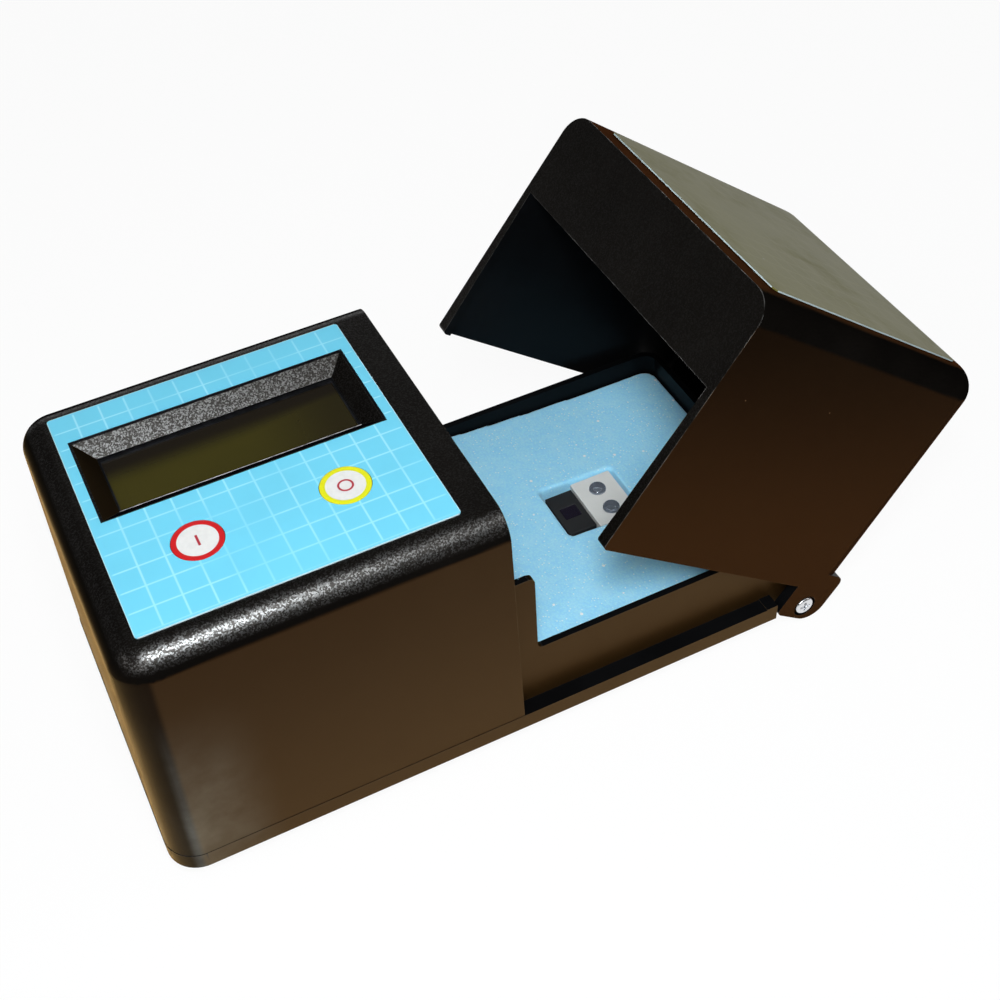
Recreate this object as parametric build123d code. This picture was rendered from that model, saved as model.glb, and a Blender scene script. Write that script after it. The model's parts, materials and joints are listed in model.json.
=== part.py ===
from build123d import *
import os
from math import hypot

# Digital egg monitor: a control head and an egg chamber on one base, the chamber under a hinged lid.
# Millimetres. X runs from the head to the hinge, Y to the back, Z up. The pieces are drawn from the middle
# of the base's underside, the lid closed. The lid is then turned open, and all is moved so that the origin
# is on the table, under the middle of the whole object.

# Case: length and width of the base, and how far the covers lean in over the full height
case_length = 197.2
case_width = 99.3
case_height = 80.1
side_draft = 1.9
head_end_draft = 2.5
lid_end_draft = 1.9
edge_radius = 7.5
corner_radius = 9.0
seam_height = 5.4
floor_thickness = 3.0
head_length = 98.8
head_wall = 2.5
head_top = 3.0
rim_fillet = 0.4

# Clearances
part_gap = 0.3
board_gap = 0.2
running_gap = 0.05
thread_gap = 0.02

# Lid
lid_gap = 1.4
lid_wall = 2.7
lid_core_draft = 0.7
lid_seat_gap = 0.6
lid_open_angle = 38.0
lid_front_corner = 1.2
valance_depth = 25.8
valance_gap = 0.7

# Egg tray
ledge_width = 4.5
tray_wall = 1.9
tray_floor = 4.5
tray_rim = 25.4
tray_corner = 6.0
tray_return = 6.6
return_corner = 2.0
rim_corner = 1.6
stop_length = 3.5

# Hinge
lug_setback = 0.9
lug_width = 16.3
lug_thickness = 3.2
lug_bottom = -4.7
lug_top = 11.8
lug_front_corner = 2.0
lug_rear_corner = 6.2
lug_shoulder = 2.5
hinge_setback = 8.4
hinge_height = 0.0
hinge_boss_radius = 4.8
hinge_boss_length = 11.0
hinge_screw_radius = 1.5
hinge_screw_length = 9.0
hinge_head_radius = 2.9
hinge_head_height = 1.7
hinge_counterbore = 1.4
hinge_head_room = 0.7
bush_wall = 1.0
washer_thickness = 1.0
washer_radius = 4.6
cross_length = 3.2
cross_width = 0.8
cross_depth = 0.9

# Label, keys and window on the head
label_thickness = 0.35
label_border = 0.2
label_end_gap = 8.8
label_corner = 1.0
label_window_gap = 0.45
key_pitch = 37.4
key_shift = 0.45
key_inset = 21.9
key_radius = 6.4
key_gap = 0.15
key_travel = 0.5
key_hole_room = 0.6
window_side = 3.6
window_width = 29.8
window_inset = 11.3
window_bevel = 4.5
window_depth = 3.2
window_lip = 0.4
window_rim = 3.0

# Label on the lid
lid_label_border = 0.8
lid_label_front = 7.2
lid_label_corner = 2.0

# Display module
lcd_board_length = 80.0
lcd_board_width = 36.0
board_thickness = 1.6
lcd_frame_length = 71.2
lcd_frame_width = 25.2
lcd_frame_height = 8.6
lcd_frame_wall = 0.8
lcd_frame_lip = 0.5
lcd_view_length = 62.5
lcd_view_width = 19.0
lcd_glass_thickness = 1.9
lcd_hole_inset = 2.5
header_length = 40.6
header_width = 2.5
header_height = 2.5

# Key switches
switch_size = 6.0
switch_height = 3.5
switch_inset = 0.5
plunger_radius = 1.75
plunger_engagement = 0.5
key_board_margin = 11.0
key_board_width = 19.0
key_board_hole_inset = 3.0

# Main board
main_board_room = 8.2
main_board_width = 68.0
main_board_height = 34.0
main_board_hole_inset = 4.0
chip_length = 35.0
chip_width = 7.5
chip_height = 3.6
part_row = 15.0
capacitor_radius = 4.0
capacitor_height = 11.0
crystal_length = 11.0
crystal_width = 4.6
crystal_height = 3.5
amplifier_length = 10.0
regulator_length = 10.0
regulator_width = 4.5
regulator_height = 15.0
socket_width = 5.0
socket_height = 4.5
ribbon_thickness = 0.9
key_ribbon_length = 8.0

# Small screws into plastic
post_radius = 3.0
small_screw_radius = 1.1
small_screw_length = 6.0
small_head_radius = 2.1
small_head_height = 1.5
screw_dome = 0.45

# Case screws
pillar_radius = 3.6
pillar_bite = 1.0
case_screw_radius = 1.5
case_screw_reach = 9.0
case_head_radius = 2.8
case_head_height = 1.8
case_head_recess = 2.4

# Feet
foot_radius = 6.0
foot_taper = 0.8
foot_height = 6.5
foot_front_inset = 26.0
foot_rear_inset = 27.0
foot_side_inset = 13.5

# Battery and its door
battery_length = 46.4
battery_width = 26.5
battery_height = 17.5
battery_inset = 11.0
battery_room = 0.4
battery_corner = 2.0
terminal_height = 3.0
terminal_radius = 3.2
terminal_pitch = 12.7
clip_thickness = 2.2
clip_height = 14.0
box_wall = 2.0
door_lip = 1.4
door_tongue = 1.4
door_tongue_height = 1.0
door_overrun = 2.0
grip_ribs = 4
grip_pitch = 2.4
grip_depth = 0.5
lead_radius = 0.8
lead_pitch = 6.0
lead_bend = 3.0
lead_reach = 6.0

# Foam pad, a little dished, and the sensor in its opening
foam_gap = 0.3
foam_front = 19.3
foam_middle = 15.5
foam_rear = 14.6
foam_opening_length = 24.0
foam_opening_width = 20.0
sensor_board_length = 32.0
sensor_board_width = 24.0
sensor_board_room = 1.0
sensor_relief = 4.0
sensor_hole_inset = 2.6
sensor_drop = 1.0
sensor_split = 0.4
sensor_split_shift = 2.1
cradle_width = 16.0
cradle_step = 0.4
emitter_width = 19.0
emitter_radius = 2.5
emitter_pitch = 8.4
emitter_proud = 1.0
emitter_dome = 0.9
emitter_depth = 5.0
photodiode_length = 5.0
photodiode_width = 4.4
photodiode_depth = 1.2
ribbon_width = 8.0
ribbon_drop = 0.3
ribbon_bend = 2.5
ribbon_rise = 4.5


# Outer faces of the covers, which lean in with height

def half_width(z):
    return case_width / 2 - side_draft * z / case_height


def left_x(z):
    return -case_length / 2 + head_end_draft * z / case_height


def rear_x(z):
    return case_length / 2 - lid_end_draft * z / case_height


def lid_inner_half_width(z):
    return half_width(z) - lid_wall + lid_core_draft * (1 - z / case_height)


# Places that follow from the sizes
base_left = -case_length / 2
base_rear = case_length / 2
base_y = case_width / 2
x_left = left_x(0)
x_rear = rear_x(0)
y_side = half_width(0)
x_head = x_left + head_length
x_lid = x_head + lid_gap
lid_bottom = seam_height + lid_seat_gap
head_ceiling = case_height - head_top

tray_y = y_side - ledge_width
tray_front_x = x_head + part_gap
tray_rear_x = x_rear - ledge_width
tray_middle = (tray_front_x + tray_rear_x) / 2
tray_front_top = case_height - valance_depth - valance_gap

hinge_x = x_rear - hinge_setback
hinge = Pos(hinge_x, 0, hinge_height)
lug_rear_x = x_rear - lug_setback
lug_front_x = lug_rear_x - lug_width
lug_inner_y = y_side - lug_thickness
bush_radius = hinge_screw_radius + thread_gap + bush_wall
bush_end = y_side - hinge_counterbore + running_gap
lug_swing = lug_front_corner + hypot(hinge_x - lug_front_x - lug_front_corner,
                                     hinge_height - lug_bottom - lug_front_corner)
pocket_x = hinge_x - lug_swing - part_gap

label_x0 = left_x(case_height) + edge_radius + label_border
label_x1 = x_head - label_end_gap
label_y = half_width(case_height) - edge_radius - label_border
head_middle = (label_x0 + label_x1) / 2
key_y = -label_y + key_inset
window_length = label_x1 - label_x0 - 2 * window_side
key_middle = head_middle + key_shift
key_places = {"on": key_middle - key_pitch / 2, "off": key_middle + key_pitch / 2}
window_y = label_y - window_inset - window_width / 2
window_bottom = case_height - window_depth - window_lip

lcd_top = window_bottom - board_gap
lcd_board_top = lcd_top - lcd_frame_height
lcd_board_bottom = lcd_board_top - board_thickness
switch_top = head_ceiling - switch_inset
key_board_top = switch_top - switch_height
key_board_bottom = key_board_top - board_thickness
main_board_length = 2 * (x_head - head_wall - main_board_room - head_middle)
main_board_top = main_board_height + board_thickness

pillar_y = half_width(case_height) - edge_radius
pillar_places = [
    (x, y)
    for x in (left_x(case_height) + edge_radius, x_head - head_wall - pillar_radius + pillar_bite)
    for y in (-pillar_y, pillar_y)
]
foot_y = y_side - foot_side_inset
foot_places = [
    (x, y)
    for x in (x_left + foot_front_inset, x_rear - foot_rear_inset)
    for y in (-foot_y, foot_y)
]

battery_x = x_left + battery_inset
battery_z = floor_thickness + part_gap
battery_middle = battery_z + battery_height / 2
clip_x = battery_x + battery_length + terminal_height
box_x0 = battery_x - battery_room
box_x1 = clip_x + clip_thickness + battery_room
box_y = battery_width / 2 + battery_room
box_top = battery_z + battery_height + battery_room
door_y = box_y + door_tongue
door_x1 = box_x1 + door_overrun

sensor_floor = tray_floor + board_thickness
sensor_top = tray_floor + foam_middle - sensor_drop
sensor_reach = foam_opening_length / 2 - sensor_board_room
split_x = tray_middle - sensor_split_shift
cradle_x0 = tray_middle - sensor_reach
cradle_x1 = split_x - sensor_split / 2
emitter_x0 = split_x + sensor_split / 2
emitter_x1 = tray_middle + sensor_reach
screw_grip = tray_floor - floor_thickness / 2
ribbon_bottom = tray_floor - ribbon_drop - ribbon_thickness
ribbon_x = x_head - head_wall - ribbon_rise
sensor_socket_x = head_middle + main_board_length / 2 - main_board_hole_inset
header_y = window_y + lcd_board_width / 2 - lcd_hole_inset
key_ribbon_y = key_y - key_board_width / 2 + key_board_hole_inset


def corners(x, y, length, width, inset):
    dx = length / 2 - inset
    dy = width / 2 - inset
    return [(x + sx * dx, y + sy * dy) for sx in (-1, 1) for sy in (-1, 1)]


key_board_length = key_pitch + 2 * key_board_margin
key_board_holes = corners(key_middle, key_y, key_board_length, key_board_width, key_board_hole_inset)
lcd_holes = corners(head_middle, window_y, lcd_board_length, lcd_board_width, lcd_hole_inset)
main_board_holes = corners(head_middle, 0, main_board_length, main_board_width, main_board_hole_inset)
sensor_holes = corners(tray_middle, 0, sensor_board_length, sensor_board_width, sensor_hole_inset)


# Solids that many pieces use

def block(x0, x1, y0, y1, z0, z1):
    return Pos((x0 + x1) / 2, (y0 + y1) / 2, (z0 + z1) / 2) * Box(x1 - x0, y1 - y0, z1 - z0)


def centred_block(x, y, length, width, z0, z1):
    return block(x - length / 2, x + length / 2, y - width / 2, y + width / 2, z0, z1)


def rod_z(x, y, z0, z1, radius):
    return Pos(x, y, (z0 + z1) / 2) * Cylinder(radius, z1 - z0)


def rod_y(x, z, y0, y1, radius):
    return Pos(x, (y0 + y1) / 2, z) * Rot(90, 0, 0) * Cylinder(radius, y1 - y0)


def both_sides(shape):
    return shape + mirror(shape, Plane.XZ)


def pair(shape):
    return Compound([shape, mirror(shape, Plane.XZ)])


def cover(x_range, y_half, z0, z1, wall, round_end):
    """A leaning block a wall inside the outer form, rounded on top and at the corners of one end."""
    sections = []
    for z in (z0, z1):
        x0, x1 = x_range(z)
        sections.append(Pos((x0 + x1) / 2, 0, z) * Rectangle(x1 - x0, 2 * y_half(z)))
    shape = loft(sections)
    upright = shape.edges().filter_by(lambda edge: abs(edge.center().Z - (z0 + z1) / 2) < running_gap)
    shape = fillet(upright.group_by(Axis.X)[round_end], corner_radius - wall)
    top = shape.faces().sort_by(Axis.Z)[-1].edges().sort_by(Axis.X)
    rounded = top[:-1] if round_end == 0 else top[1:]
    return fillet(rounded, edge_radius - wall)


def drilled_board(x, y, length, width, z_top, holes):
    board = centred_block(x, y, length, width, z_top - board_thickness, z_top)
    for hole_x, hole_y in holes:
        board -= rod_z(hole_x, hole_y, z_top - board_thickness, z_top, small_screw_radius + board_gap)
    return board


def screw(radius, length, head_radius, head_height):
    """A pan-head screw with a cross recess, its seat at the origin and its point along -Z."""
    head = rod_z(0, 0, 0, head_height, head_radius)
    head = fillet(head.edges().group_by(Axis.Z)[-1], head_height * screw_dome)
    slot = centred_block(0, 0, cross_length, cross_width, head_height - cross_depth, head_height)
    return head - slot - Rot(0, 0, 90) * slot + rod_z(0, 0, -length, 0, radius)


def small_screws(places, z_seat, length, turn):
    shape = Rot(turn, 0, 0) * screw(small_screw_radius, length, small_head_radius, small_head_height)
    return Compound([Pos(x, y, z_seat) * shape for x, y in places])


# Base

def base_case():
    case = block(base_left, base_rear, -base_y, base_y, 0, seam_height)
    case = fillet(case.edges().filter_by(Axis.Z).group_by(Axis.X)[0], corner_radius)
    head_space = block(x_left + head_wall, x_head - head_wall, -y_side + head_wall, y_side - head_wall,
                       floor_thickness, seam_height)
    case -= fillet(head_space.edges().filter_by(Axis.Z).group_by(Axis.X)[0], corner_radius - head_wall)
    case = case + egg_tray() - tray_space()

    pocket = block(pocket_x, base_rear, tray_y, base_y, 0, seam_height)
    case -= both_sides(pocket)
    stop = block(pocket_x - stop_length, pocket_x, tray_y, y_side, seam_height, seam_height + part_gap)
    boss = rod_y(hinge_x, hinge_height, tray_y - hinge_boss_length, tray_y, hinge_boss_radius)
    boss -= block(tray_front_x, x_rear, 0, y_side, tray_floor, tray_rim)
    pilot = rod_y(hinge_x, hinge_height, tray_y - hinge_screw_length - part_gap, tray_y,
                  hinge_screw_radius + thread_gap)
    case = case + both_sides(stop) + both_sides(boss) - both_sides(pilot)

    for x, y in pillar_places:
        case += rod_z(x, y, 0, seam_height, pillar_radius + head_wall / 2)
        case -= rod_z(x, y, 0, case_head_recess, case_head_radius + part_gap)
        case -= rod_z(x, y, case_head_recess, seam_height, case_screw_radius + part_gap)
    for x, y in main_board_holes:
        case += rod_z(x, y, floor_thickness, main_board_height, post_radius)
        case -= rod_z(x, y, main_board_height - small_screw_length - part_gap, main_board_height,
                      small_screw_radius + thread_gap)

    case = case + battery_box() - battery_space() - door_way()
    for x, y in sensor_holes:
        case -= rod_z(x, y, tray_floor - screw_grip, tray_floor, small_screw_radius + thread_gap)
    return case - ribbon_groove()


def egg_tray():
    tray = block(tray_front_x, tray_rear_x, -tray_y, tray_y, 0, tray_rim)
    tray = fillet(tray.edges().filter_by(Axis.Z).group_by(Axis.X)[-1], tray_corner)
    front = block(tray_front_x, tray_front_x + tray_return, -tray_y, tray_y, 0, tray_front_top)
    inner_edge = front.edges().filter_by(Axis.Y).group_by(Axis.Z)[-1].sort_by(Axis.X)[-1]
    tray += fillet(inner_edge, return_corner)
    foot = tray.edges().filter_by(Axis.Y).filter_by_position(Axis.Z, tray_rim, tray_rim).sort_by(Axis.X)[0]
    return fillet(foot, rim_corner)


def tray_space():
    space = block(tray_front_x + tray_wall, tray_rear_x - tray_wall, -tray_y + tray_wall, tray_y - tray_wall,
                  tray_floor, tray_front_top)
    return fillet(space.edges().filter_by(Axis.Z).group_by(Axis.X)[-1], tray_corner - tray_wall)


def battery_box():
    outer_y = door_y + part_gap + box_wall
    return block(box_x0 - box_wall, box_x1 + box_wall, -outer_y, outer_y, floor_thickness, box_top + box_wall)


def battery_space():
    space = block(box_x0, box_x1, -box_y, box_y, 0, box_top)
    lead_slot = block(clip_x, box_x1 + box_wall, -lead_pitch, lead_pitch, battery_middle - lead_pitch,
                      battery_middle + lead_pitch)
    return space + lead_slot


def door_way():
    x1 = door_x1 + part_gap
    narrow_y = box_y + part_gap
    wide_y = door_y + part_gap
    groove_top = door_lip + door_tongue_height + 2 * part_gap
    narrow = block(base_left, x1, -narrow_y, narrow_y, 0, floor_thickness + part_gap)
    return narrow + block(base_left, x1, -wide_y, wide_y, door_lip, groove_top)


def ribbon_groove():
    half = ribbon_width / 2 + part_gap
    x1 = tray_middle - sensor_board_length / 2
    passage_top = ribbon_bottom + ribbon_thickness + part_gap
    passage = block(x_head - head_wall, x1, -half, half, ribbon_bottom, passage_top)
    return passage + block(tray_front_x + tray_wall, x1, -half, half, ribbon_bottom, tray_floor)


def battery_door():
    door = block(base_left, door_x1, -box_y, box_y, 0, floor_thickness - part_gap)
    tongue_bottom = door_lip + part_gap
    door += block(base_left, door_x1, -door_y, door_y, tongue_bottom, tongue_bottom + door_tongue_height)
    for rib in range(grip_ribs):
        x = base_left + edge_radius + rib * grip_pitch
        door -= block(x, x + grip_pitch / 2, -box_y / 2, box_y / 2, 0, grip_depth)
    return door


def rubber_feet():
    foot = Cone(foot_radius - foot_taper, foot_radius, foot_height)
    foot = fillet(foot.edges().group_by(Axis.Z)[0], foot_taper)
    return Compound([Pos(x, y, -foot_height / 2) * foot for x, y in foot_places])


def case_screws():
    length = seam_height - case_head_recess + case_screw_reach
    shape = Rot(180, 0, 0) * screw(case_screw_radius, length, case_head_radius, case_head_height)
    return Compound([Pos(x, y, case_head_recess) * shape for x, y in pillar_places])


# Control head

def head_shell():
    shell = cover(lambda z: (left_x(z), x_head), half_width, seam_height, case_height, 0, 0)
    shell -= cover(lambda z: (left_x(z) + head_wall, x_head - head_wall), lambda z: half_width(z) - head_wall,
                   seam_height, head_ceiling, head_wall, 0)
    rim = 2 * (window_rim - window_bevel)
    shell += centred_block(head_middle, window_y, window_length + rim, window_width + rim,
                           window_bottom, head_ceiling)
    pilot_top = seam_height + case_screw_reach + part_gap
    for x, y in pillar_places:
        shell += rod_z(x, y, seam_height, head_ceiling, pillar_radius)
        shell -= rod_z(x, y, seam_height, pilot_top, case_screw_radius + thread_gap)
    for places, seat in ((lcd_holes, lcd_board_top), (key_board_holes, key_board_top)):
        for x, y in places:
            shell += rod_z(x, y, seat, head_ceiling, post_radius)
            shell -= rod_z(x, y, seat, seat + small_screw_length - board_thickness + part_gap,
                           small_screw_radius + thread_gap)
    shell -= window_cut()
    for x in key_places.values():
        shell -= rod_z(x, key_y, head_ceiling, case_height, key_radius + key_hole_room)
    return shell


def window_cut():
    bevel_bottom = case_height - window_depth
    inner_length = window_length - 2 * window_bevel
    inner_width = window_width - 2 * window_bevel
    outer = Pos(head_middle, window_y, case_height) * Rectangle(window_length, window_width)
    inner = Pos(head_middle, window_y, bevel_bottom) * Rectangle(inner_length, inner_width)
    lip = centred_block(head_middle, window_y, inner_length, inner_width, window_bottom, bevel_bottom)
    return loft([inner, outer]) + lip


def front_label():
    sheet = RectangleRounded(label_x1 - label_x0, 2 * label_y, label_corner)
    label = Pos(head_middle, 0, case_height) * extrude(sheet, label_thickness)
    top = case_height + label_thickness
    label -= centred_block(head_middle, window_y, window_length + 2 * label_window_gap,
                           window_width + 2 * label_window_gap, case_height, top)
    for x in key_places.values():
        label -= rod_z(x, key_y, case_height, top, key_radius + key_gap)
    return label


def key(side):
    return rod_z(key_places[side], key_y, case_height, case_height + label_thickness, key_radius)


def plunger(side):
    return rod_z(key_places[side], key_y, switch_top - plunger_engagement, case_height, plunger_radius)


def switch(side):
    x = key_places[side]
    body = centred_block(x, key_y, switch_size, switch_size, key_board_top, switch_top)
    well = plunger_engagement + key_travel + part_gap
    return body - rod_z(x, key_y, switch_top - well, switch_top, plunger_radius + part_gap / 2)


def key_board():
    return drilled_board(key_middle, key_y, key_board_length, key_board_width, key_board_top, key_board_holes)


def key_ribbon():
    return centred_block(head_middle, key_ribbon_y, key_ribbon_length, ribbon_thickness,
                         main_board_top + socket_height, key_board_bottom)


def lcd_board():
    return drilled_board(head_middle, window_y, lcd_board_length, lcd_board_width, lcd_board_top, lcd_holes)


def lcd_frame():
    frame = centred_block(head_middle, window_y, lcd_frame_length, lcd_frame_width, lcd_board_top, lcd_top)
    frame -= centred_block(head_middle, window_y, lcd_frame_length - 2 * lcd_frame_wall,
                           lcd_frame_width - 2 * lcd_frame_wall, lcd_board_top, lcd_top - lcd_frame_lip)
    return frame - centred_block(head_middle, window_y, lcd_view_length, lcd_view_width,
                                 lcd_top - lcd_frame_lip, lcd_top)


def lcd_layer(z0, z1):
    room = 2 * (lcd_frame_wall + board_gap)
    return centred_block(head_middle, window_y, lcd_frame_length - room, lcd_frame_width - room, z0, z1)


def lcd_header():
    return centred_block(head_middle, header_y, header_length, header_width,
                         lcd_board_bottom - header_height, lcd_board_bottom)


def display_ribbon():
    return centred_block(head_middle, header_y, header_length, ribbon_thickness,
                         main_board_top + socket_height, lcd_board_bottom - header_height)


def main_board():
    return drilled_board(head_middle, 0, main_board_length, main_board_width, main_board_top, main_board_holes)


def microcontroller():
    top = main_board_top + chip_height
    chip = centred_block(head_middle, 0, chip_length, chip_width, main_board_top, top)
    return chip - rod_z(head_middle - chip_length / 2, 0, top - chip_height / 2, top, chip_width / 6)


def board_parts():
    z = main_board_top
    x0 = head_middle - chip_length / 2
    x1 = head_middle + chip_length / 2
    capacitor = rod_z(x0, part_row, z, z + capacitor_height, capacitor_radius)
    crystal = extrude(SlotOverall(crystal_length, crystal_width), crystal_height)
    amplifier = centred_block(x1, part_row, amplifier_length, chip_width, z, z + chip_height)
    regulator = centred_block(x0, -part_row, regulator_length, regulator_width, z, z + regulator_height)
    return Compound([capacitor, Pos(head_middle, part_row, z) * crystal, amplifier, regulator])


def board_sockets():
    z1 = main_board_top + socket_height
    return Compound([
        centred_block(head_middle, header_y, header_length, socket_width, main_board_top, z1),
        centred_block(head_middle, key_ribbon_y, key_ribbon_length, socket_width, main_board_top, z1),
        centred_block(sensor_socket_x, 0, socket_width, ribbon_width, main_board_top, z1),
    ])


# Battery

def battery():
    cell = block(battery_x, battery_x + battery_length, -battery_width / 2, battery_width / 2, battery_z,
                 battery_z + battery_height)
    cell = fillet(cell.edges().filter_by(Axis.X), battery_corner)
    for y in (-terminal_pitch / 2, terminal_pitch / 2):
        middle = Pos(clip_x - terminal_height / 2, y, battery_middle)
        cell += middle * Rot(0, 90, 0) * Cylinder(terminal_radius, terminal_height)
    return cell


def battery_clip():
    clip = block(clip_x, clip_x + clip_thickness, -battery_width / 2, battery_width / 2,
                 battery_middle - clip_height / 2, battery_middle + clip_height / 2)
    return fillet(clip.edges().filter_by(Axis.X), battery_corner)


def battery_leads():
    x0 = clip_x + clip_thickness
    x1 = x0 + lead_reach
    leads = []
    for y in (-lead_pitch / 2, lead_pitch / 2):
        path = FilletPolyline((x0, y, battery_middle), (x1, y, battery_middle), (x1, y, main_board_height),
                              radius=lead_bend)
        leads.append(sweep(Plane(path @ 0, z_dir=path % 0) * Circle(lead_radius), path))
    return Compound(leads)


# Foam and sensor

def foam_pad():
    room = tray_wall + foam_gap
    x0 = tray_front_x + room
    x1 = tray_rear_x - room
    front = (x0, tray_floor + foam_front)
    middle = (tray_middle, tray_floor + foam_middle)
    rear = (x1, tray_floor + foam_rear)
    outline = [
        Line(front, (x0, tray_floor)),
        Line((x0, tray_floor), (x1, tray_floor)),
        Line((x1, tray_floor), rear),
        ThreePointArc(rear, middle, front),
    ]
    pad = extrude(Plane.XZ * make_face(outline), tray_y - room, both=True)
    pad = fillet(pad.edges().filter_by(Axis.Z).group_by(Axis.X)[-1], tray_corner - tray_wall)
    top = tray_floor + foam_front
    pad -= centred_block(tray_middle, 0, foam_opening_length, foam_opening_width, tray_floor, top)
    relief_length = sensor_board_length + 2 * sensor_board_room
    relief_width = sensor_board_width + 2 * sensor_board_room
    relief_top = tray_floor + sensor_relief
    return pad - centred_block(tray_middle, 0, relief_length, relief_width, tray_floor, relief_top)


def sensor_board():
    return drilled_board(tray_middle, 0, sensor_board_length, sensor_board_width, sensor_floor, sensor_holes)


def photodiode():
    top = sensor_top - cradle_step
    return centred_block((cradle_x0 + cradle_x1) / 2, 0, photodiode_length, photodiode_width,
                         top - photodiode_depth, top)


def sensor_cradle():
    cradle = block(cradle_x0, cradle_x1, -cradle_width / 2, cradle_width / 2,
                   sensor_floor, sensor_top - cradle_step)
    return cradle - photodiode()


emitter_places = [((emitter_x0 + emitter_x1) / 2, y) for y in (-emitter_pitch / 2, emitter_pitch / 2)]


def emitter_block():
    shape = block(emitter_x0, emitter_x1, -emitter_width / 2, emitter_width / 2, sensor_floor, sensor_top)
    shape = fillet(shape.edges().filter_by(Axis.Z), rim_fillet)
    for x, y in emitter_places:
        shape -= rod_z(x, y, sensor_top - emitter_depth, sensor_top, emitter_radius + thread_gap)
    return shape


def ir_emitters():
    lamp = rod_z(0, 0, -emitter_depth, emitter_proud, emitter_radius)
    lamp = fillet(lamp.edges().group_by(Axis.Z)[-1], emitter_proud * emitter_dome)
    return Compound([Pos(x, y, sensor_top) * lamp for x, y in emitter_places])


def sensor_ribbon():
    low = ribbon_bottom + ribbon_thickness / 2
    high = main_board_top + socket_height / 2
    path = FilletPolyline(
        (tray_middle - sensor_board_length / 2, 0, low),
        (ribbon_x, 0, low),
        (ribbon_x, 0, high),
        (sensor_socket_x + socket_width / 2, 0, high),
        radius=ribbon_bend,
    )
    section = Plane(path @ 0, x_dir=(0, 1, 0), z_dir=path % 0) * Rectangle(ribbon_width, ribbon_thickness)
    return sweep(section, path)


# Lid, drawn closed

def lid_shell():
    shell = cover(lambda z: (x_lid, rear_x(z)), half_width, lid_bottom, case_height, 0, -1)
    shell -= cover(lambda z: (x_lid + lid_wall, rear_x(z) - lid_wall), lid_inner_half_width,
                   lid_bottom, case_height - lid_wall, lid_wall, -1)
    mouth_y = lid_inner_half_width(case_height - valance_depth)
    shell -= block(x_lid, x_lid + lid_wall, -mouth_y, mouth_y, lid_bottom, case_height - valance_depth)
    shell -= block(lug_front_x, x_rear, -y_side, y_side, lid_bottom, lug_top)
    front_feet = shell.edges().filter_by(Axis.Y).group_by(Axis.Z)[0].group_by(Axis.X)[0]
    return fillet(front_feet, lid_front_corner) + both_sides(hinge_lug())


def hinge_lug():
    outer_y = half_width(lug_bottom)
    sections = []
    for z in (lug_bottom, lug_top):
        middle_y = (lug_inner_y + half_width(z)) / 2
        sections.append(Pos((lug_front_x + lug_rear_x) / 2, middle_y, z)
                        * Rectangle(lug_rear_x - lug_front_x, half_width(z) - lug_inner_y))
    lug = loft(sections)
    for level, end, radius in ((0, 0, lug_front_corner), (0, -1, lug_rear_corner), (-1, -1, lug_shoulder)):
        edge = lug.edges().filter_by(Axis.Y).group_by(Axis.Z)[level].sort_by(Axis.X)[end]
        lug = fillet(edge, radius)
    recess_radius = hinge_head_radius + hinge_head_room
    lug -= rod_y(hinge_x, hinge_height, y_side - hinge_counterbore, outer_y, recess_radius)
    return lug - rod_y(hinge_x, hinge_height, lug_inner_y, outer_y, bush_radius + running_gap)


def lid_label():
    x0 = x_lid + lid_label_front
    x1 = rear_x(case_height) - edge_radius - lid_label_border
    width = 2 * (half_width(case_height) - edge_radius - lid_label_border)
    return Pos((x0 + x1) / 2, 0, case_height) * extrude(RectangleRounded(x1 - x0, width, lid_label_corner),
                                                        label_thickness)


def opened(shape):
    return hinge * Rot(0, lid_open_angle, 0) * hinge.inverse() * shape


# Hinge hardware, on the base

def hinge_ring(y0, y1, radius):
    ring = rod_y(hinge_x, hinge_height, y0, y1, radius)
    return pair(ring - rod_y(hinge_x, hinge_height, y0, y1, hinge_screw_radius + thread_gap))


def hinge_screw():
    length = bush_end - tray_y + hinge_screw_length
    shape = screw(hinge_screw_radius, length, hinge_head_radius, hinge_head_height)
    return Pos(hinge_x, bush_end, hinge_height) * Rot(-90, 0, 0) * shape


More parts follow.
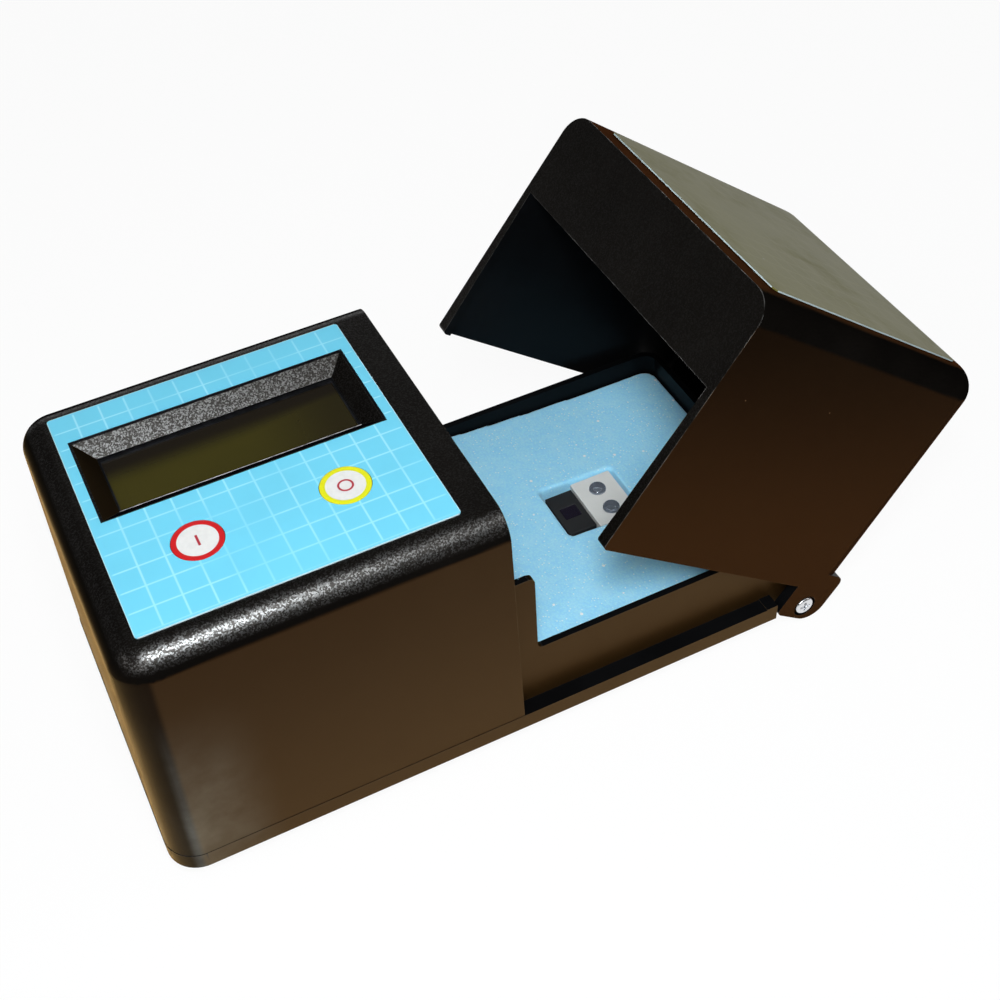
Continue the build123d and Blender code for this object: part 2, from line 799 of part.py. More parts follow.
nodes = {
    "base_case": base_case(),
    "rubber_feet": rubber_feet(),
    "case_screws": case_screws(),
    "battery_door": battery_door(),
    "battery": battery(),
    "battery_clip": battery_clip(),
    "battery_leads": battery_leads(),
    "head_shell": head_shell(),
    "front_label": front_label(),
    "on_key": key("on"),
    "off_key": key("off"),
    "on_plunger": plunger("on"),
    "off_plunger": plunger("off"),
    "on_switch": switch("on"),
    "off_switch": switch("off"),
    "key_board": key_board(),
    "key_board_screws": small_screws(key_board_holes, key_board_bottom, small_screw_length, 180),
    "key_ribbon": key_ribbon(),
    "lcd_frame": lcd_frame(),
    "lcd_glass": lcd_layer(lcd_top - lcd_frame_lip - lcd_glass_thickness, lcd_top - lcd_frame_lip),
    "lcd_backlight": lcd_layer(lcd_board_top, lcd_top - lcd_frame_lip - lcd_glass_thickness),
    "lcd_board": lcd_board(),
    "lcd_screws": small_screws(lcd_holes, lcd_board_bottom, small_screw_length, 180),
    "lcd_header": lcd_header(),
    "display_ribbon": display_ribbon(),
    "main_board": main_board(),
    "main_board_screws": small_screws(main_board_holes, main_board_top, small_screw_length, 0),
    "microcontroller": microcontroller(),
    "board_parts": board_parts(),
    "board_sockets": board_sockets(),
    "foam_pad": foam_pad(),
    "sensor_board": sensor_board(),
    "sensor_screws": small_screws(sensor_holes, sensor_floor, board_thickness + screw_grip - part_gap, 0),
    "sensor_cradle": sensor_cradle(),
    "photodiode": photodiode(),
    "emitter_block": emitter_block(),
    "ir_emitters": ir_emitters(),
    "sensor_ribbon": sensor_ribbon(),
    "lid_shell": opened(lid_shell()),
    "lid_label": opened(lid_label()),
    "hinge_bushes": hinge_ring(tray_y + washer_thickness, bush_end, bush_radius),
    "hinge_washers": hinge_ring(tray_y, tray_y + washer_thickness, washer_radius),
    "hinge_screws": pair(hinge_screw()),
}

lid_reach = nodes["lid_shell"].bounding_box().max.X
to_origin = Pos(-(base_left + lid_reach) / 2, 0, foot_height)

os.makedirs("parts", exist_ok=True)
for name, shape in nodes.items():
    export_step(to_origin * shape, os.path.join("parts", name + ".step"))
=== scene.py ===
import bpy
import json
from math import radians
from mathutils import Euler, Matrix, Vector

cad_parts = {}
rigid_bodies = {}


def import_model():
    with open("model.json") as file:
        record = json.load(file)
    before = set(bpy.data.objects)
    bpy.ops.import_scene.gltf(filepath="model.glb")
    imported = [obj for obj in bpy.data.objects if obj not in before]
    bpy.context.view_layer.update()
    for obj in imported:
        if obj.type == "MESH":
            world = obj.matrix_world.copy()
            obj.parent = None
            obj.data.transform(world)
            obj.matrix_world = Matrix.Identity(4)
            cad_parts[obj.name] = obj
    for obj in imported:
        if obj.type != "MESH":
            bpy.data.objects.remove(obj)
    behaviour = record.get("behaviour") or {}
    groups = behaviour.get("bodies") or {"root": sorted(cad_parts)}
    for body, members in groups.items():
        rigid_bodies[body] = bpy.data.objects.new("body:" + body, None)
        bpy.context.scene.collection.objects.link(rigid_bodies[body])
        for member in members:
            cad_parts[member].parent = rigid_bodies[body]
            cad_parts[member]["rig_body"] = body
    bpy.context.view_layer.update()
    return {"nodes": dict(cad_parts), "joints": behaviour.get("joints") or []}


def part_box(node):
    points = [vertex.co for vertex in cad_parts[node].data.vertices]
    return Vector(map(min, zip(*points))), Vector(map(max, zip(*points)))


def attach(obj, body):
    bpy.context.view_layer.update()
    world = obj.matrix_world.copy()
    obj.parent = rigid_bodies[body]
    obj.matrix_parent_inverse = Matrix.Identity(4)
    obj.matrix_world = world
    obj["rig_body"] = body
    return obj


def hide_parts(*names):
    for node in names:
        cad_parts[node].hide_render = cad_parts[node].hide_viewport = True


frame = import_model()
nodes = frame["nodes"]
hinge = Vector(frame["joints"][0]["pos_m"])
print("frame:", len(nodes), "nodes")


# picking and shaping

weld = {"gap": 2e-6, "flat": radians(0.3)}
easing = {"segments": 2, "angle": 40, "smooth": 38, "weight": 80}


def focus(obj):
    bpy.ops.object.select_all(action="DESELECT")
    obj.select_set(True)
    bpy.context.view_layer.objects.active = obj


def applyAll(obj):
    focus(obj)
    for name in [m.name for m in obj.modifiers]:
        bpy.ops.object.modifier_apply(modifier=name)


# a copy of a CAD mesh, with doubled points joined and, in a hard part, each flat face made whole
def dressedCopy(nodeName, pieceName, hard=True):
    piece = bpy.data.objects.new(pieceName, nodes[nodeName].data.copy())
    bpy.context.scene.collection.objects.link(piece)
    piece.data.materials.clear()
    focus(piece)
    if piece.data.has_custom_normals:
        bpy.ops.mesh.customdata_custom_splitnormals_clear()
    bpy.ops.object.mode_set(mode="EDIT")
    bpy.ops.mesh.select_all(action="SELECT")
    bpy.ops.mesh.remove_doubles(threshold=weld["gap"])
    if hard:
        bpy.ops.mesh.dissolve_limited(angle_limit=weld["flat"])
    bpy.ops.object.mode_set(mode="OBJECT")
    return piece


# rounds the sharp edges, apart from those whose ends are both crisp
def easeEdges(piece, width, angle=easing["angle"], crisp=None):
    focus(piece)
    bpy.ops.object.mode_set(mode="EDIT")
    bpy.ops.mesh.select_mode(type="EDGE")
    bpy.ops.mesh.select_all(action="DESELECT")
    bpy.ops.mesh.edges_select_sharp(sharpness=radians(angle))
    bpy.ops.object.mode_set(mode="OBJECT")
    mesh = piece.data
    weights = mesh.attributes.new("bevel_weight_edge", "FLOAT", "EDGE")
    for edge in mesh.edges:
        ends = [mesh.vertices[v].co for v in edge.vertices]
        weights.data[edge.index].value = float(edge.select and not (crisp and all(crisp(at) for at in ends)))
    bevel = piece.modifiers.new("ease", "BEVEL")
    bevel.limit_method = "WEIGHT"
    bevel.width = width
    bevel.segments = easing["segments"]
    bevel.use_clamp_overlap = True
    applyAll(piece)


def shadeSmooth(piece, angle=easing["smooth"]):
    focus(piece)
    bpy.ops.object.shade_smooth_by_angle(angle=radians(angle))
    weighted = piece.modifiers.new("weighted", "WEIGHTED_NORMAL")
    weighted.keep_sharp = True
    weighted.weight = easing["weight"]
    applyAll(piece)


# picks faces and stays in edit mode
def selectFaces(piece, test):
    bpy.ops.object.mode_set(mode="EDIT")
    bpy.ops.mesh.select_mode(type="FACE")
    bpy.ops.mesh.select_all(action="DESELECT")
    bpy.ops.object.mode_set(mode="OBJECT")
    for face in piece.data.polygons:
        face.select = test(face)
    bpy.ops.object.mode_set(mode="EDIT")


def standFor(piece, nodeName):
    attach(piece, nodes[nodeName]["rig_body"])
    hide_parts(nodeName)


# shader nodes

spread = (0.3, 0.7)  # where most values of a noise texture lie


def feed(tree, socket, value):
    if isinstance(value, bpy.types.NodeSocket):
        tree.links.new(value, socket)
    else:
        socket.default_value = value


def put(tree, kind, settings=None, **inputs):
    node = tree.nodes.new("ShaderNode" + kind)
    for key, value in (settings or {}).items():
        setattr(node, key, value)
    for key, value in inputs.items():
        feed(tree, node.inputs[key.replace("_", " ")], value)
    return node


def calc(tree, operation, *values):
    node = tree.nodes.new("ShaderNodeMath")
    node.operation = operation
    for socket, value in zip(node.inputs, values):
        feed(tree, socket, value)
    return node.outputs[0]


def fade(tree, value, start, end, low=0.0, high=1.0):
    node = put(tree, "MapRange", {"interpolation_type": "SMOOTHSTEP"}, Value=value)
    for key, number in (("From Min", start), ("From Max", end), ("To Min", low), ("To Max", high)):
        feed(tree, node.inputs[key], number)
    return node.outputs[0]


def paint(tree, mask, under, over):
    node = put(tree, "Mix", {"data_type": "RGBA"})
    feed(tree, node.inputs[0], mask)
    for socket, colour in ((node.inputs[6], under), (node.inputs[7], over)):
        feed(tree, socket, colour if isinstance(colour, bpy.types.NodeSocket) else (*colour, 1))
    return node.outputs[2]


def scaled(colour, factor):
    return [c * factor for c in colour]


def mixShaders(tree, mask, under, over):
    mix = put(tree, "MixShader")
    for socket, source in zip(mix.inputs, (mask, under, over)):
        tree.links.new(source, socket)
    return mix.outputs[0]


# coordinates on the piece, or on a print that is moved and turned on it
def here(tree, move=(0, 0, 0), turn=(0, 0, 0)):
    coords = put(tree, "TexCoord").outputs["Object"]
    if not any(move) and not any(turn):
        return coords
    spot = put(tree, "Mapping", {"vector_type": "TEXTURE"}, Vector=coords)
    spot.inputs["Location"].default_value = move
    spot.inputs["Rotation"].default_value = turn
    return spot.outputs[0]


def newMaterial(name, **shaderValues):
    material = bpy.data.materials.new(name)
    material.use_nodes = True
    tree = material.node_tree
    shader = tree.nodes["Principled BSDF"]
    for key, value in shaderValues.items():
        feed(tree, shader.inputs[key.replace("_", " ")], value)
    return material, tree, shader


def bumpInto(tree, shader, height, depth, strength):
    bump = put(tree, "Bump", Strength=strength, Distance=depth, Height=height)
    tree.links.new(bump.outputs[0], shader.inputs["Normal"])


def useGroup(tree, group, **inputs):
    return put(tree, "Group", {"node_tree": group}, **inputs).outputs


def newGroup(name, inputs, outputs):
    tree = bpy.data.node_groups.new(name, "ShaderNodeTree")
    for label, value in inputs.items():
        kind = "NodeSocketFloat" if isinstance(value, (int, float)) else "NodeSocketVector"
        socket = tree.interface.new_socket(label, in_out="INPUT", socket_type=kind)
        socket.default_value = value
    for label in outputs:
        tree.interface.new_socket(label, in_out="OUTPUT", socket_type="NodeSocketFloat")
    entry = tree.nodes.new("NodeGroupInput")
    return tree, entry.outputs, tree.nodes.new("NodeGroupOutput").inputs


# spark-eroded mould surface: fine pits, with a slow change of tone
def makeMouldGrain():
    tree, given, out = newGroup("mould grain", {"Scale": 1800.0, "Pits": 0.5}, ["Height", "Tone"])
    coords = here(tree)
    fine = put(tree, "TexNoise", Vector=coords, Scale=given["Scale"], Detail=2.0, Roughness=0.65)
    pit = put(tree, "TexVoronoi", Vector=coords, Scale=given["Scale"], Randomness=1.0)
    pitted = calc(tree, "MULTIPLY", pit.outputs["Distance"], given["Pits"])
    tree.links.new(calc(tree, "ADD", fine.outputs[0], pitted), out["Height"])
    slow = put(tree, "TexNoise", Vector=coords, Scale=34.0, Detail=4.0, Roughness=0.6)
    tree.links.new(fade(tree, slow.outputs[0], *spread), out["Tone"])
    return tree


# loose dust specks and a thin handled haze
def makeDust():
    tree, given, out = newGroup("dust", {"Amount": 0.02, "Size": 0.12, "Scale": 260.0}, ["Speck", "Haze"])
    coords = here(tree)
    cell = put(tree, "TexVoronoi", Vector=coords, Scale=given["Scale"], Randomness=1.0)
    chosen = put(tree, "SeparateColor", Color=cell.outputs["Color"]).outputs[0]
    lucky = calc(tree, "GREATER_THAN", chosen, calc(tree, "SUBTRACT", 1.0, given["Amount"]))
    small = calc(tree, "LESS_THAN", cell.outputs["Distance"], given["Size"])
    tree.links.new(calc(tree, "MULTIPLY", lucky, small), out["Speck"])
    cloud = put(tree, "TexNoise", Vector=coords, Scale=62.0, Detail=6.0, Roughness=0.7, Distortion=0.4)
    tree.links.new(fade(tree, cloud.outputs[0], 0.42, 0.78), out["Haze"])
    return tree


# polish along edges that hands and the bench touch
def makeEdgeWear():
    tree, given, out = newGroup("edge wear", {"Radius": 0.0008, "Amount": 1.0}, ["Wear"])
    rounded = put(tree, "Bevel", {"samples": 6}, Radius=given["Radius"]).outputs[0]
    true = put(tree, "NewGeometry").outputs["Normal"]
    turn = put(tree, "VectorMath", {"operation": "DOT_PRODUCT"})
    tree.links.new(rounded, turn.inputs[0])
    tree.links.new(true, turn.inputs[1])
    edge = fade(tree, turn.outputs["Value"], 0.995, 0.86)
    broken = put(tree, "TexNoise", Vector=here(tree), Scale=210.0, Detail=5.0, Roughness=0.7)
    kept = calc(tree, "MULTIPLY", edge, fade(tree, broken.outputs[0], 0.35, 0.62))
    tree.links.new(calc(tree, "MULTIPLY", kept, given["Amount"]), out["Wear"])
    return tree


# printed squares: how near a point is to the closest line of the grid, which fades at its sides
def makePrintedGrid():
    tree, given, out = newGroup(
        "printed grid", {"Vector": (0, 0, 0), "Pitch": 0.00665, "Line": 0.00042}, ["Line"])
    axes = put(tree, "SeparateXYZ", Vector=given["Vector"])
    half = calc(tree, "MULTIPLY", given["Pitch"], 0.5)
    lines = []
    for axis in (axes.outputs[0], axes.outputs[1]):
        away = calc(tree, "PINGPONG", axis, half)
        outer = calc(tree, "MULTIPLY", given["Line"], 0.75)
        inner = calc(tree, "MULTIPLY", given["Line"], 0.3)
        lines.append(fade(tree, away, outer, inner))
    tree.links.new(calc(tree, "MAXIMUM", *lines), out["Line"])
    return tree


mouldGrain = makeMouldGrain()
dust = makeDust()
edgeWear = makeEdgeWear()
printedGrid = makePrintedGrid()
print("shared effects ready")


# case plastic

casePlastic = {
    "black": (0.0030, 0.0025, 0.0021), "vary": 1.5, "worn": (0.13, 0.125, 0.12), "speck": (0.32, 0.29, 0.25),
    # film: painted reflection, a brown base colour on the sides that grows downwards
    "film": (0.050, 0.030, 0.015), "paintedBrownTop": 0.085, "paintedBrownFoot": 0.0, "paintedBrownLean": 0.0, "paintedBrown": 0.4,
    # smear: a paler grey laid low on the left of the sides and the corner
    "smear": (0.14, 0.155, 0.19), "paleLowHeight": (0.07, 0.02), "paleLowLeft": (-0.088, -0.115),
    # the brown and warm tints and the coat tint on the sides colour the reflections: painted reflection of a
    # warm table
    "paleLowCloud": (0.3, 0.85), "brown": (1.0, 0.38, 0.04, 1), "gold": (1.0, 0.60, 0.22, 1),
    "warm": (1.0, 0.86, 0.74, 1), "paintedReflectionTint": (0.98, 0.88, 0.66, 1), "paintedReflectionTintIor": 1.01, "paintedReflectionTintRough": 0.5,
    # with the gold tint, the sheen values give the left end a painted gold sheen of warm surroundings seen at
    # grazing
    "topIor": 1.27, "sideIor": 1.36, "darkIor": 1.4, "sheen": 0.65, "sheenRough": 0.32,
    "rough": 0.34, "hazeRough": 0.07, "wearRough": -0.12, "wear": 0.4, "wearRadius": 0.0004,
    "dust": {"Amount": 0.012, "Size": 0.04, "Scale": 190.0}, "dustShow": 0.45,
    "grain": 3000.0, "grainDepth": 0.0001, "pits": 0.6,
    "bump": {"top": 0.45, "side": 0.1, "shade": 0.2, "paintedSheen": 0.2},
    "glints": 3000.0, "glint": 0.9, "glintFloor": 0.07, "tips": (0.36, 0.96),
    "tipsLevel": (0.995, 0.93, 0.3, 1.0), "tipRough": 0.33, "tipIor": 2.15, "turn": 0.0,
}
lidPlastic = {
    **casePlastic, "turn": radians(38), "topIor": 1.18, "sideIor": 1.1, "paintedReflectionTint": (0.93, 0.72, 0.52, 1),
    # on the lid the painted brown reflection grows towards its lower part
    "paintedBrownTop": 0.143, "paintedBrownFoot": 0.055, "paintedBrownLean": 0.46, "paintedBrown": 0.6, "glint": 0.12, "wear": 1.0,
}
insidePlastic = {
    "black": (0.0022, 0.0023, 0.0026), "vary": 1.6, "ior": 1.5, "shine": 0.06, "pits": 0.4, "bump": 0.06,
    "dust": {"Amount": 0.01, "Size": 0.06, "Scale": 190.0}, "dustShow": 0.3, "rough": 0.3, "hazeRough": 0.07,
}

# where a finish starts and where it is full, by a face's normal; at the corner, by height
caseBands = {
    "notRight": (0.4, 0.15), "notBack": (0.4, 0.15), "up": (0.36, 0.62), "rising": (0.03, 0.2),
    "upLeft": (-0.32, -0.06, 0.45, 1.0), "upEnd": (-0.75, -0.45), "left": (-0.06, -0.25), "leftShade": 0.75,
    "paintedSheenMask": (-0.22, -0.5), "paintedSheenMaskUp": (0.78, 0.25), "corner": (0.08, 0.05, 0.3, 0.9),
    "end": (-0.9, -0.99), "paintedSheenEnd": 0.62,
}
lidBands = {
    "rising": (0.03, 0.2), "level": (0.995, 0.95, 0.5, 1.0), "rear": (0.05, 0.2),
    "rearEnd": (0.98, 0.88, 0.0, 0.6), "valance": (-0.36, -0.62),
}


# which finish a face takes by the way it looks: spark texture above, dark roundings, sides with a painted
# brown reflection, and a left end with a painted gold sheen, which thins out high on the corner
def caseFaces(tree, facing, place):
    bands = caseBands
    ahead = fade(tree, facing[0], *bands["notRight"])
    left = fade(tree, facing[0], *bands["left"])
    up = calc(tree, "MULTIPLY", fade(tree, facing[2], *bands["up"]), fade(tree, facing[1], *bands["notBack"]))
    up = calc(tree, "MULTIPLY", up, fade(tree, facing[0], *bands["upLeft"]))
    up = calc(tree, "MULTIPLY", up, fade(tree, facing[0], *bands["upEnd"]))
    rounding = calc(tree, "MULTIPLY", fade(tree, facing[2], *bands["rising"]), ahead)
    corner = fade(tree, place[2], *bands["corner"])
    more = calc(tree, "SUBTRACT", bands["paintedSheenEnd"], corner)
    paintedSheen = calc(tree, "MULTIPLY_ADD", fade(tree, facing[0], *bands["end"]), more, corner)
    paintedSheenMask = calc(tree, "MULTIPLY", fade(tree, facing[0], *bands["paintedSheenMask"]), paintedSheen)
    return {
        "shade": calc(tree, "MAXIMUM", rounding, calc(tree, "MULTIPLY", left, bands["leftShade"])),
        "paintedSheen": calc(tree, "MULTIPLY", paintedSheenMask, fade(tree, facing[2], *bands["paintedSheenMaskUp"])),
        "top": calc(tree, "MULTIPLY", up, ahead),
    }


# the same for the lid, by its faces as they look when it is closed: the valance keeps the spark texture
def lidFaces(tree, facing, _):
    bands = lidBands
    level = fade(tree, facing[2], *bands["level"])
    rounding = calc(tree, "MULTIPLY", fade(tree, facing[2], *bands["rising"]), level)
    rear = calc(tree, "MULTIPLY", fade(tree, facing[0], *bands["rear"]),
                fade(tree, facing[0], *bands["rearEnd"]))
    return {"shade": calc(tree, "MAXIMUM", rounding, rear), "top": fade(tree, facing[0], *bands["valance"])}


# one black plastic in lit and shaded copies: upward faces keep the sharp spark texture, sides carry
# a painted brown reflection under a tinting coat, roundings stay dark, and the left end has a painted gold
# sheen
def makeCaseMaterial(name, spec, faces):
    material, tree, top = newMaterial(name, IOR=spec["topIor"], Specular_Tint=spec["warm"],
                                      Coat_Roughness=spec["tipRough"], Coat_IOR=spec["tipIor"])
    side = put(tree, "BsdfPrincipled", IOR=spec["sideIor"], Specular_Tint=spec["brown"], Coat_Weight=1.0,
               Coat_IOR=spec["paintedReflectionTintIor"], Coat_Roughness=spec["paintedReflectionTintRough"], Coat_Tint=spec["paintedReflectionTint"])
    shade = put(tree, "BsdfPrincipled", IOR=spec["darkIor"], Specular_IOR_Level=0.0)
    paintedSheen = put(tree, "BsdfPrincipled", IOR=spec["darkIor"], Specular_IOR_Level=0.0,
                Sheen_Weight=spec["sheen"], Sheen_Roughness=spec["sheenRough"], Sheen_Tint=spec["gold"])
    grain = useGroup(tree, mouldGrain, Scale=spec["grain"], Pits=spec["pits"])
    specks = useGroup(tree, dust, **spec["dust"])
    wear = useGroup(tree, edgeWear, Radius=spec["wearRadius"], Amount=spec["wear"])["Wear"]
    tone = paint(tree, grain["Tone"], spec["black"], scaled(spec["black"], spec["vary"]))
    # the pale rubbed edges are partly real wear and partly a painted highlight along the rims
    tone = paint(tree, wear, tone, spec["worn"])
    tone = paint(tree, calc(tree, "MULTIPLY", specks["Speck"], spec["dustShow"]), tone, spec["speck"])
    # painted reflection: a brown base colour that grows downwards, standing in for the warm table mirrored in
    # the sides, and a paler grey patch low on the left
    place = put(tree, "SeparateXYZ", Vector=here(tree)).outputs
    height = calc(tree, "MULTIPLY_ADD", place[0], spec["paintedBrownLean"], place[2])
    thick = fade(tree, height, spec["paintedBrownTop"], spec["paintedBrownFoot"], 0.0, spec["paintedBrown"])
    paintedBrown = paint(tree, thick, tone, spec["film"])
    low = calc(tree, "MULTIPLY", fade(tree, place[2], *spec["paleLowHeight"]),
               fade(tree, place[0], *spec["paleLowLeft"]))
    cloud = put(tree, "TexNoise", Vector=here(tree), Scale=46.0, Detail=5.0, Roughness=0.6)
    low = calc(tree, "MULTIPLY", low, fade(tree, cloud.outputs[0], *spread, *spec["paleLowCloud"]))
    paintedBrown = paint(tree, low, paintedBrown, spec["smear"])
    lowPaleTone = paint(tree, low, tone, [s * v for s, v in zip(spec["smear"], spec["paintedReflectionTint"])])
    rough = calc(tree, "MULTIPLY_ADD", wear, spec["wearRough"],
                 calc(tree, "MULTIPLY_ADD", specks["Haze"], spec["hazeRough"], spec["rough"]))
    finishes = {"top": (top, tone), "side": (side, paintedBrown), "shade": (shade, lowPaleTone), "paintedSheen": (paintedSheen, tone)}
    for kind, (shader, colour) in finishes.items():
        tree.links.new(colour, shader.inputs["Base Color"])
        tree.links.new(rough, shader.inputs["Roughness"])
        bumpInto(tree, shader, grain["Height"], spec["grainDepth"], spec["bump"][kind])
    normal = put(tree, "Mapping", {"vector_type": "TEXTURE"}, Vector=put(tree, "TexCoord").outputs["Normal"])
    normal.inputs["Rotation"].default_value = (0, spec["turn"], 0)
    facing = put(tree, "SeparateXYZ", Vector=normal.outputs[0]).outputs
    # sparse bright tips, fainter where the top lies level
    tips = put(tree, "TexVoronoi", Vector=here(tree), Scale=spec["glints"], Randomness=1.0)
    chosen = put(tree, "SeparateColor", Color=tips.outputs["Color"]).outputs[0]
    glint = fade(tree, chosen, *spec["tips"], spec["glintFloor"] * spec["glint"], spec["glint"])
    slope = fade(tree, facing[2], *spec["tipsLevel"])
    tree.links.new(calc(tree, "MULTIPLY", glint, slope), top.inputs["Coat Weight"])
    # the finishes run into each other by the way a face looks
    masks = faces(tree, facing, place)
    blend = side.outputs[0]
    for kind in ("shade", "paintedSheen", "top"):
        shader = finishes[kind][0]
        if kind in masks:
            blend = mixShaders(tree, masks[kind], blend, shader.outputs[0])
        else:
            tree.nodes.remove(shader)
    tree.links.new(blend, tree.nodes["Material Output"].inputs["Surface"])
    return material


# inner faces and those out of the light are plain and smoother
def makeInsideMaterial(name, shine):
    spec = insidePlastic
    material, tree, shader = newMaterial(name, IOR=spec["ior"], Specular_IOR_Level=shine)
    grain = useGroup(tree, mouldGrain, Scale=casePlastic["grain"], Pits=spec["pits"])
    specks = useGroup(tree, dust, **spec["dust"])
    tone = paint(tree, grain["Tone"], spec["black"], scaled(spec["black"], spec["vary"]))
    tone = paint(tree, calc(tree, "MULTIPLY", specks["Speck"], spec["dustShow"]), tone, casePlastic["speck"])
    tree.links.new(tone, shader.inputs["Base Color"])
    rough = calc(tree, "MULTIPLY_ADD", specks["Haze"], spec["hazeRough"], spec["rough"])
    tree.links.new(rough, shader.inputs["Roughness"])
    bumpInto(tree, shader, grain["Height"], casePlastic["grainDepth"], spec["bump"])
    return material


caseSkin = makeCaseMaterial("case_skin", casePlastic, caseFaces)
lidSkin = makeCaseMaterial("lid_skin", lidPlastic, lidFaces)
caseInside = makeInsideMaterial("case_inside", insidePlastic["shine"])
caseShade = makeInsideMaterial("case_shade", 0.0)


# skin outside, plain faces inside and, where a test is given, faces out of the light
def facesByPlace(piece, skin, inside, shaded=None):
    for material in (skin, caseInside, caseShade):
        piece.data.materials.append(material)
    for face in piece.data.polygons:
        face.material_index = 2 if shaded and shaded(face) else int(inside(face))


# a face of a hollow cover is an inner one where it looks at the middle of the hollow
def looksAt(middle):
    return lambda face: face.normal.dot(middle - face.center) > 0


# control head: rounded cover with the bevelled display window
headShell = {
    "edge": 0.00025, "angle": 25, "smooth": 27, "rimBand": 0.0002,
    "bevelLean": 0.3, "bevelUp": 0.1, "bevelReach": 0.01,
}
head = dressedCopy("head_shell", "head_cover")
headLow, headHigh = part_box("head_shell")
easeEdges(head, headShell["edge"], headShell["angle"], lambda at: at.z < headLow.z + headShell["rimBand"])
shadeSmooth(head, headShell["smooth"])


# the window's near bevel looks away from the light
def isNearBevel(face):
    leans = face.normal.y > headShell["bevelLean"] and face.normal.z > headShell["bevelUp"]
    return leans and abs(face.center.y) < headShell["bevelReach"]


facesByPlace(head, caseSkin, looksAt((headLow + headHigh) / 2), isNearBevel)
standFor(head, "head_shell")

# fine bead along the near foot of the window's bevel, whose pale colour is a painted highlight line
windowBead = {
    "x": (-0.101874, -0.038274), "y": 0.00345, "fall": 0.0032, "radius": 0.00016, "turns": 12,
    "edge": 0.00005, "angle": 60, "smooth": 50, "ior": 1.7, "dull": (0.22, 0.20, 0.22),
    "bright": (0.70, 0.66, 0.68), "nicks": (0.35, 0.68), "rough": (0.36, 0.22), "depth": 0.00003, "bump": 0.3,
}


# painted highlight: a pale, nicked colour stands in for a thin lit edge
def makeBeadMaterial(name):
    material, tree, shader = newMaterial(name, IOR=windowBead["ior"])
    nicks = put(tree, "TexNoise", Vector=here(tree), Scale=420.0, Detail=4.0, Roughness=0.7)
    tone = fade(tree, nicks.outputs[0], *windowBead["nicks"])
    tree.links.new(paint(tree, tone, windowBead["dull"], windowBead["bright"]), shader.inputs["Base Color"])
    tree.links.new(fade(tree, tone, 0.0, 1.0, *windowBead["rough"]), shader.inputs["Roughness"])
    bumpInto(tree, shader, nicks.outputs[0], windowBead["depth"], windowBead["bump"])
    return material


beadStart, beadEnd = windowBead["x"]
beadAt = (beadStart, windowBead["y"] - windowBead["radius"] / 2, headHigh.z - windowBead["fall"])
bpy.ops.object.select_all(action="DESELECT")
bpy.ops.mesh.primitive_circle_add(vertices=windowBead["turns"], radius=windowBead["radius"], fill_type="NGON",
                                  rotation=(0, radians(90), 0), location=beadAt)
bead = bpy.context.object
bead.name = "window_bead"
bpy.ops.object.transform_apply(location=True, rotation=True, scale=True)
bpy.ops.object.mode_set(mode="EDIT")
bpy.ops.mesh.select_all(action="SELECT")
bpy.ops.mesh.extrude_region_move(TRANSFORM_OT_translate={"value": (beadEnd - beadStart, 0, 0)})
bpy.ops.mesh.select_all(action="SELECT")
bpy.ops.mesh.normals_make_consistent(inside=False)
bpy.ops.object.mode_set(mode="OBJECT")
easeEdges(bead, windowBead["edge"], windowBead["angle"])
shadeSmooth(bead, windowBead["smooth"])
bead.data.materials.append(makeBeadMaterial("bead_painted_highlight"))
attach(bead, "base")

# base: floor, tray walls, ledge and hinge bosses; its rim under the head stays crisp for a faint joint
baseCase = {
    "edge": 0.0003, "rimBand": 0.0004, "trayEdge": 0.001, "traySink": 0.0005, "ledge": 0.0125, "level": 0.9,
}
base = dressedCopy("base_case", "base_tray")
easeEdges(base, baseCase["edge"],
          crisp=lambda at: at.x < headHigh.x and abs(at.z - headLow.z) < baseCase["rimBand"])
shadeSmooth(base)
trayLow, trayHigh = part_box("foam_pad")


def isInTray(face):
    at = face.center
    along = trayLow.x - baseCase["trayEdge"] < at.x < trayHigh.x + baseCase["trayEdge"]
    across = abs(at.y) < trayHigh.y + baseCase["trayEdge"]
    return along and across and at.z > trayLow.z - baseCase["traySink"]


def isLedge(face):
    return face.normal.z > baseCase["level"] and face.center.z < baseCase["ledge"]


facesByPlace(base, caseSkin, lambda face: isInTray(face) or isLedge(face))
standFor(base, "base_case")

# lid: drafted cover with a valance, opened on its two lugs; outward is how its label looks
lidShell = {"edge": 0.00025, "hollow": 0.035, "outward": (0.616, 0, 0.788)}
lid = dressedCopy("lid_shell", "lid_cover")
easeEdges(lid, lidShell["edge"])
shadeSmooth(lid)
lidLow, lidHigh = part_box("lid_label")
lidMiddle = (lidLow + lidHigh) / 2 - Vector(lidShell["outward"]) * lidShell["hollow"]
facesByPlace(lid, lidSkin, looksAt(lidMiddle))
standFor(lid, "lid_shell")
print("case covers dressed")


# labels and keys

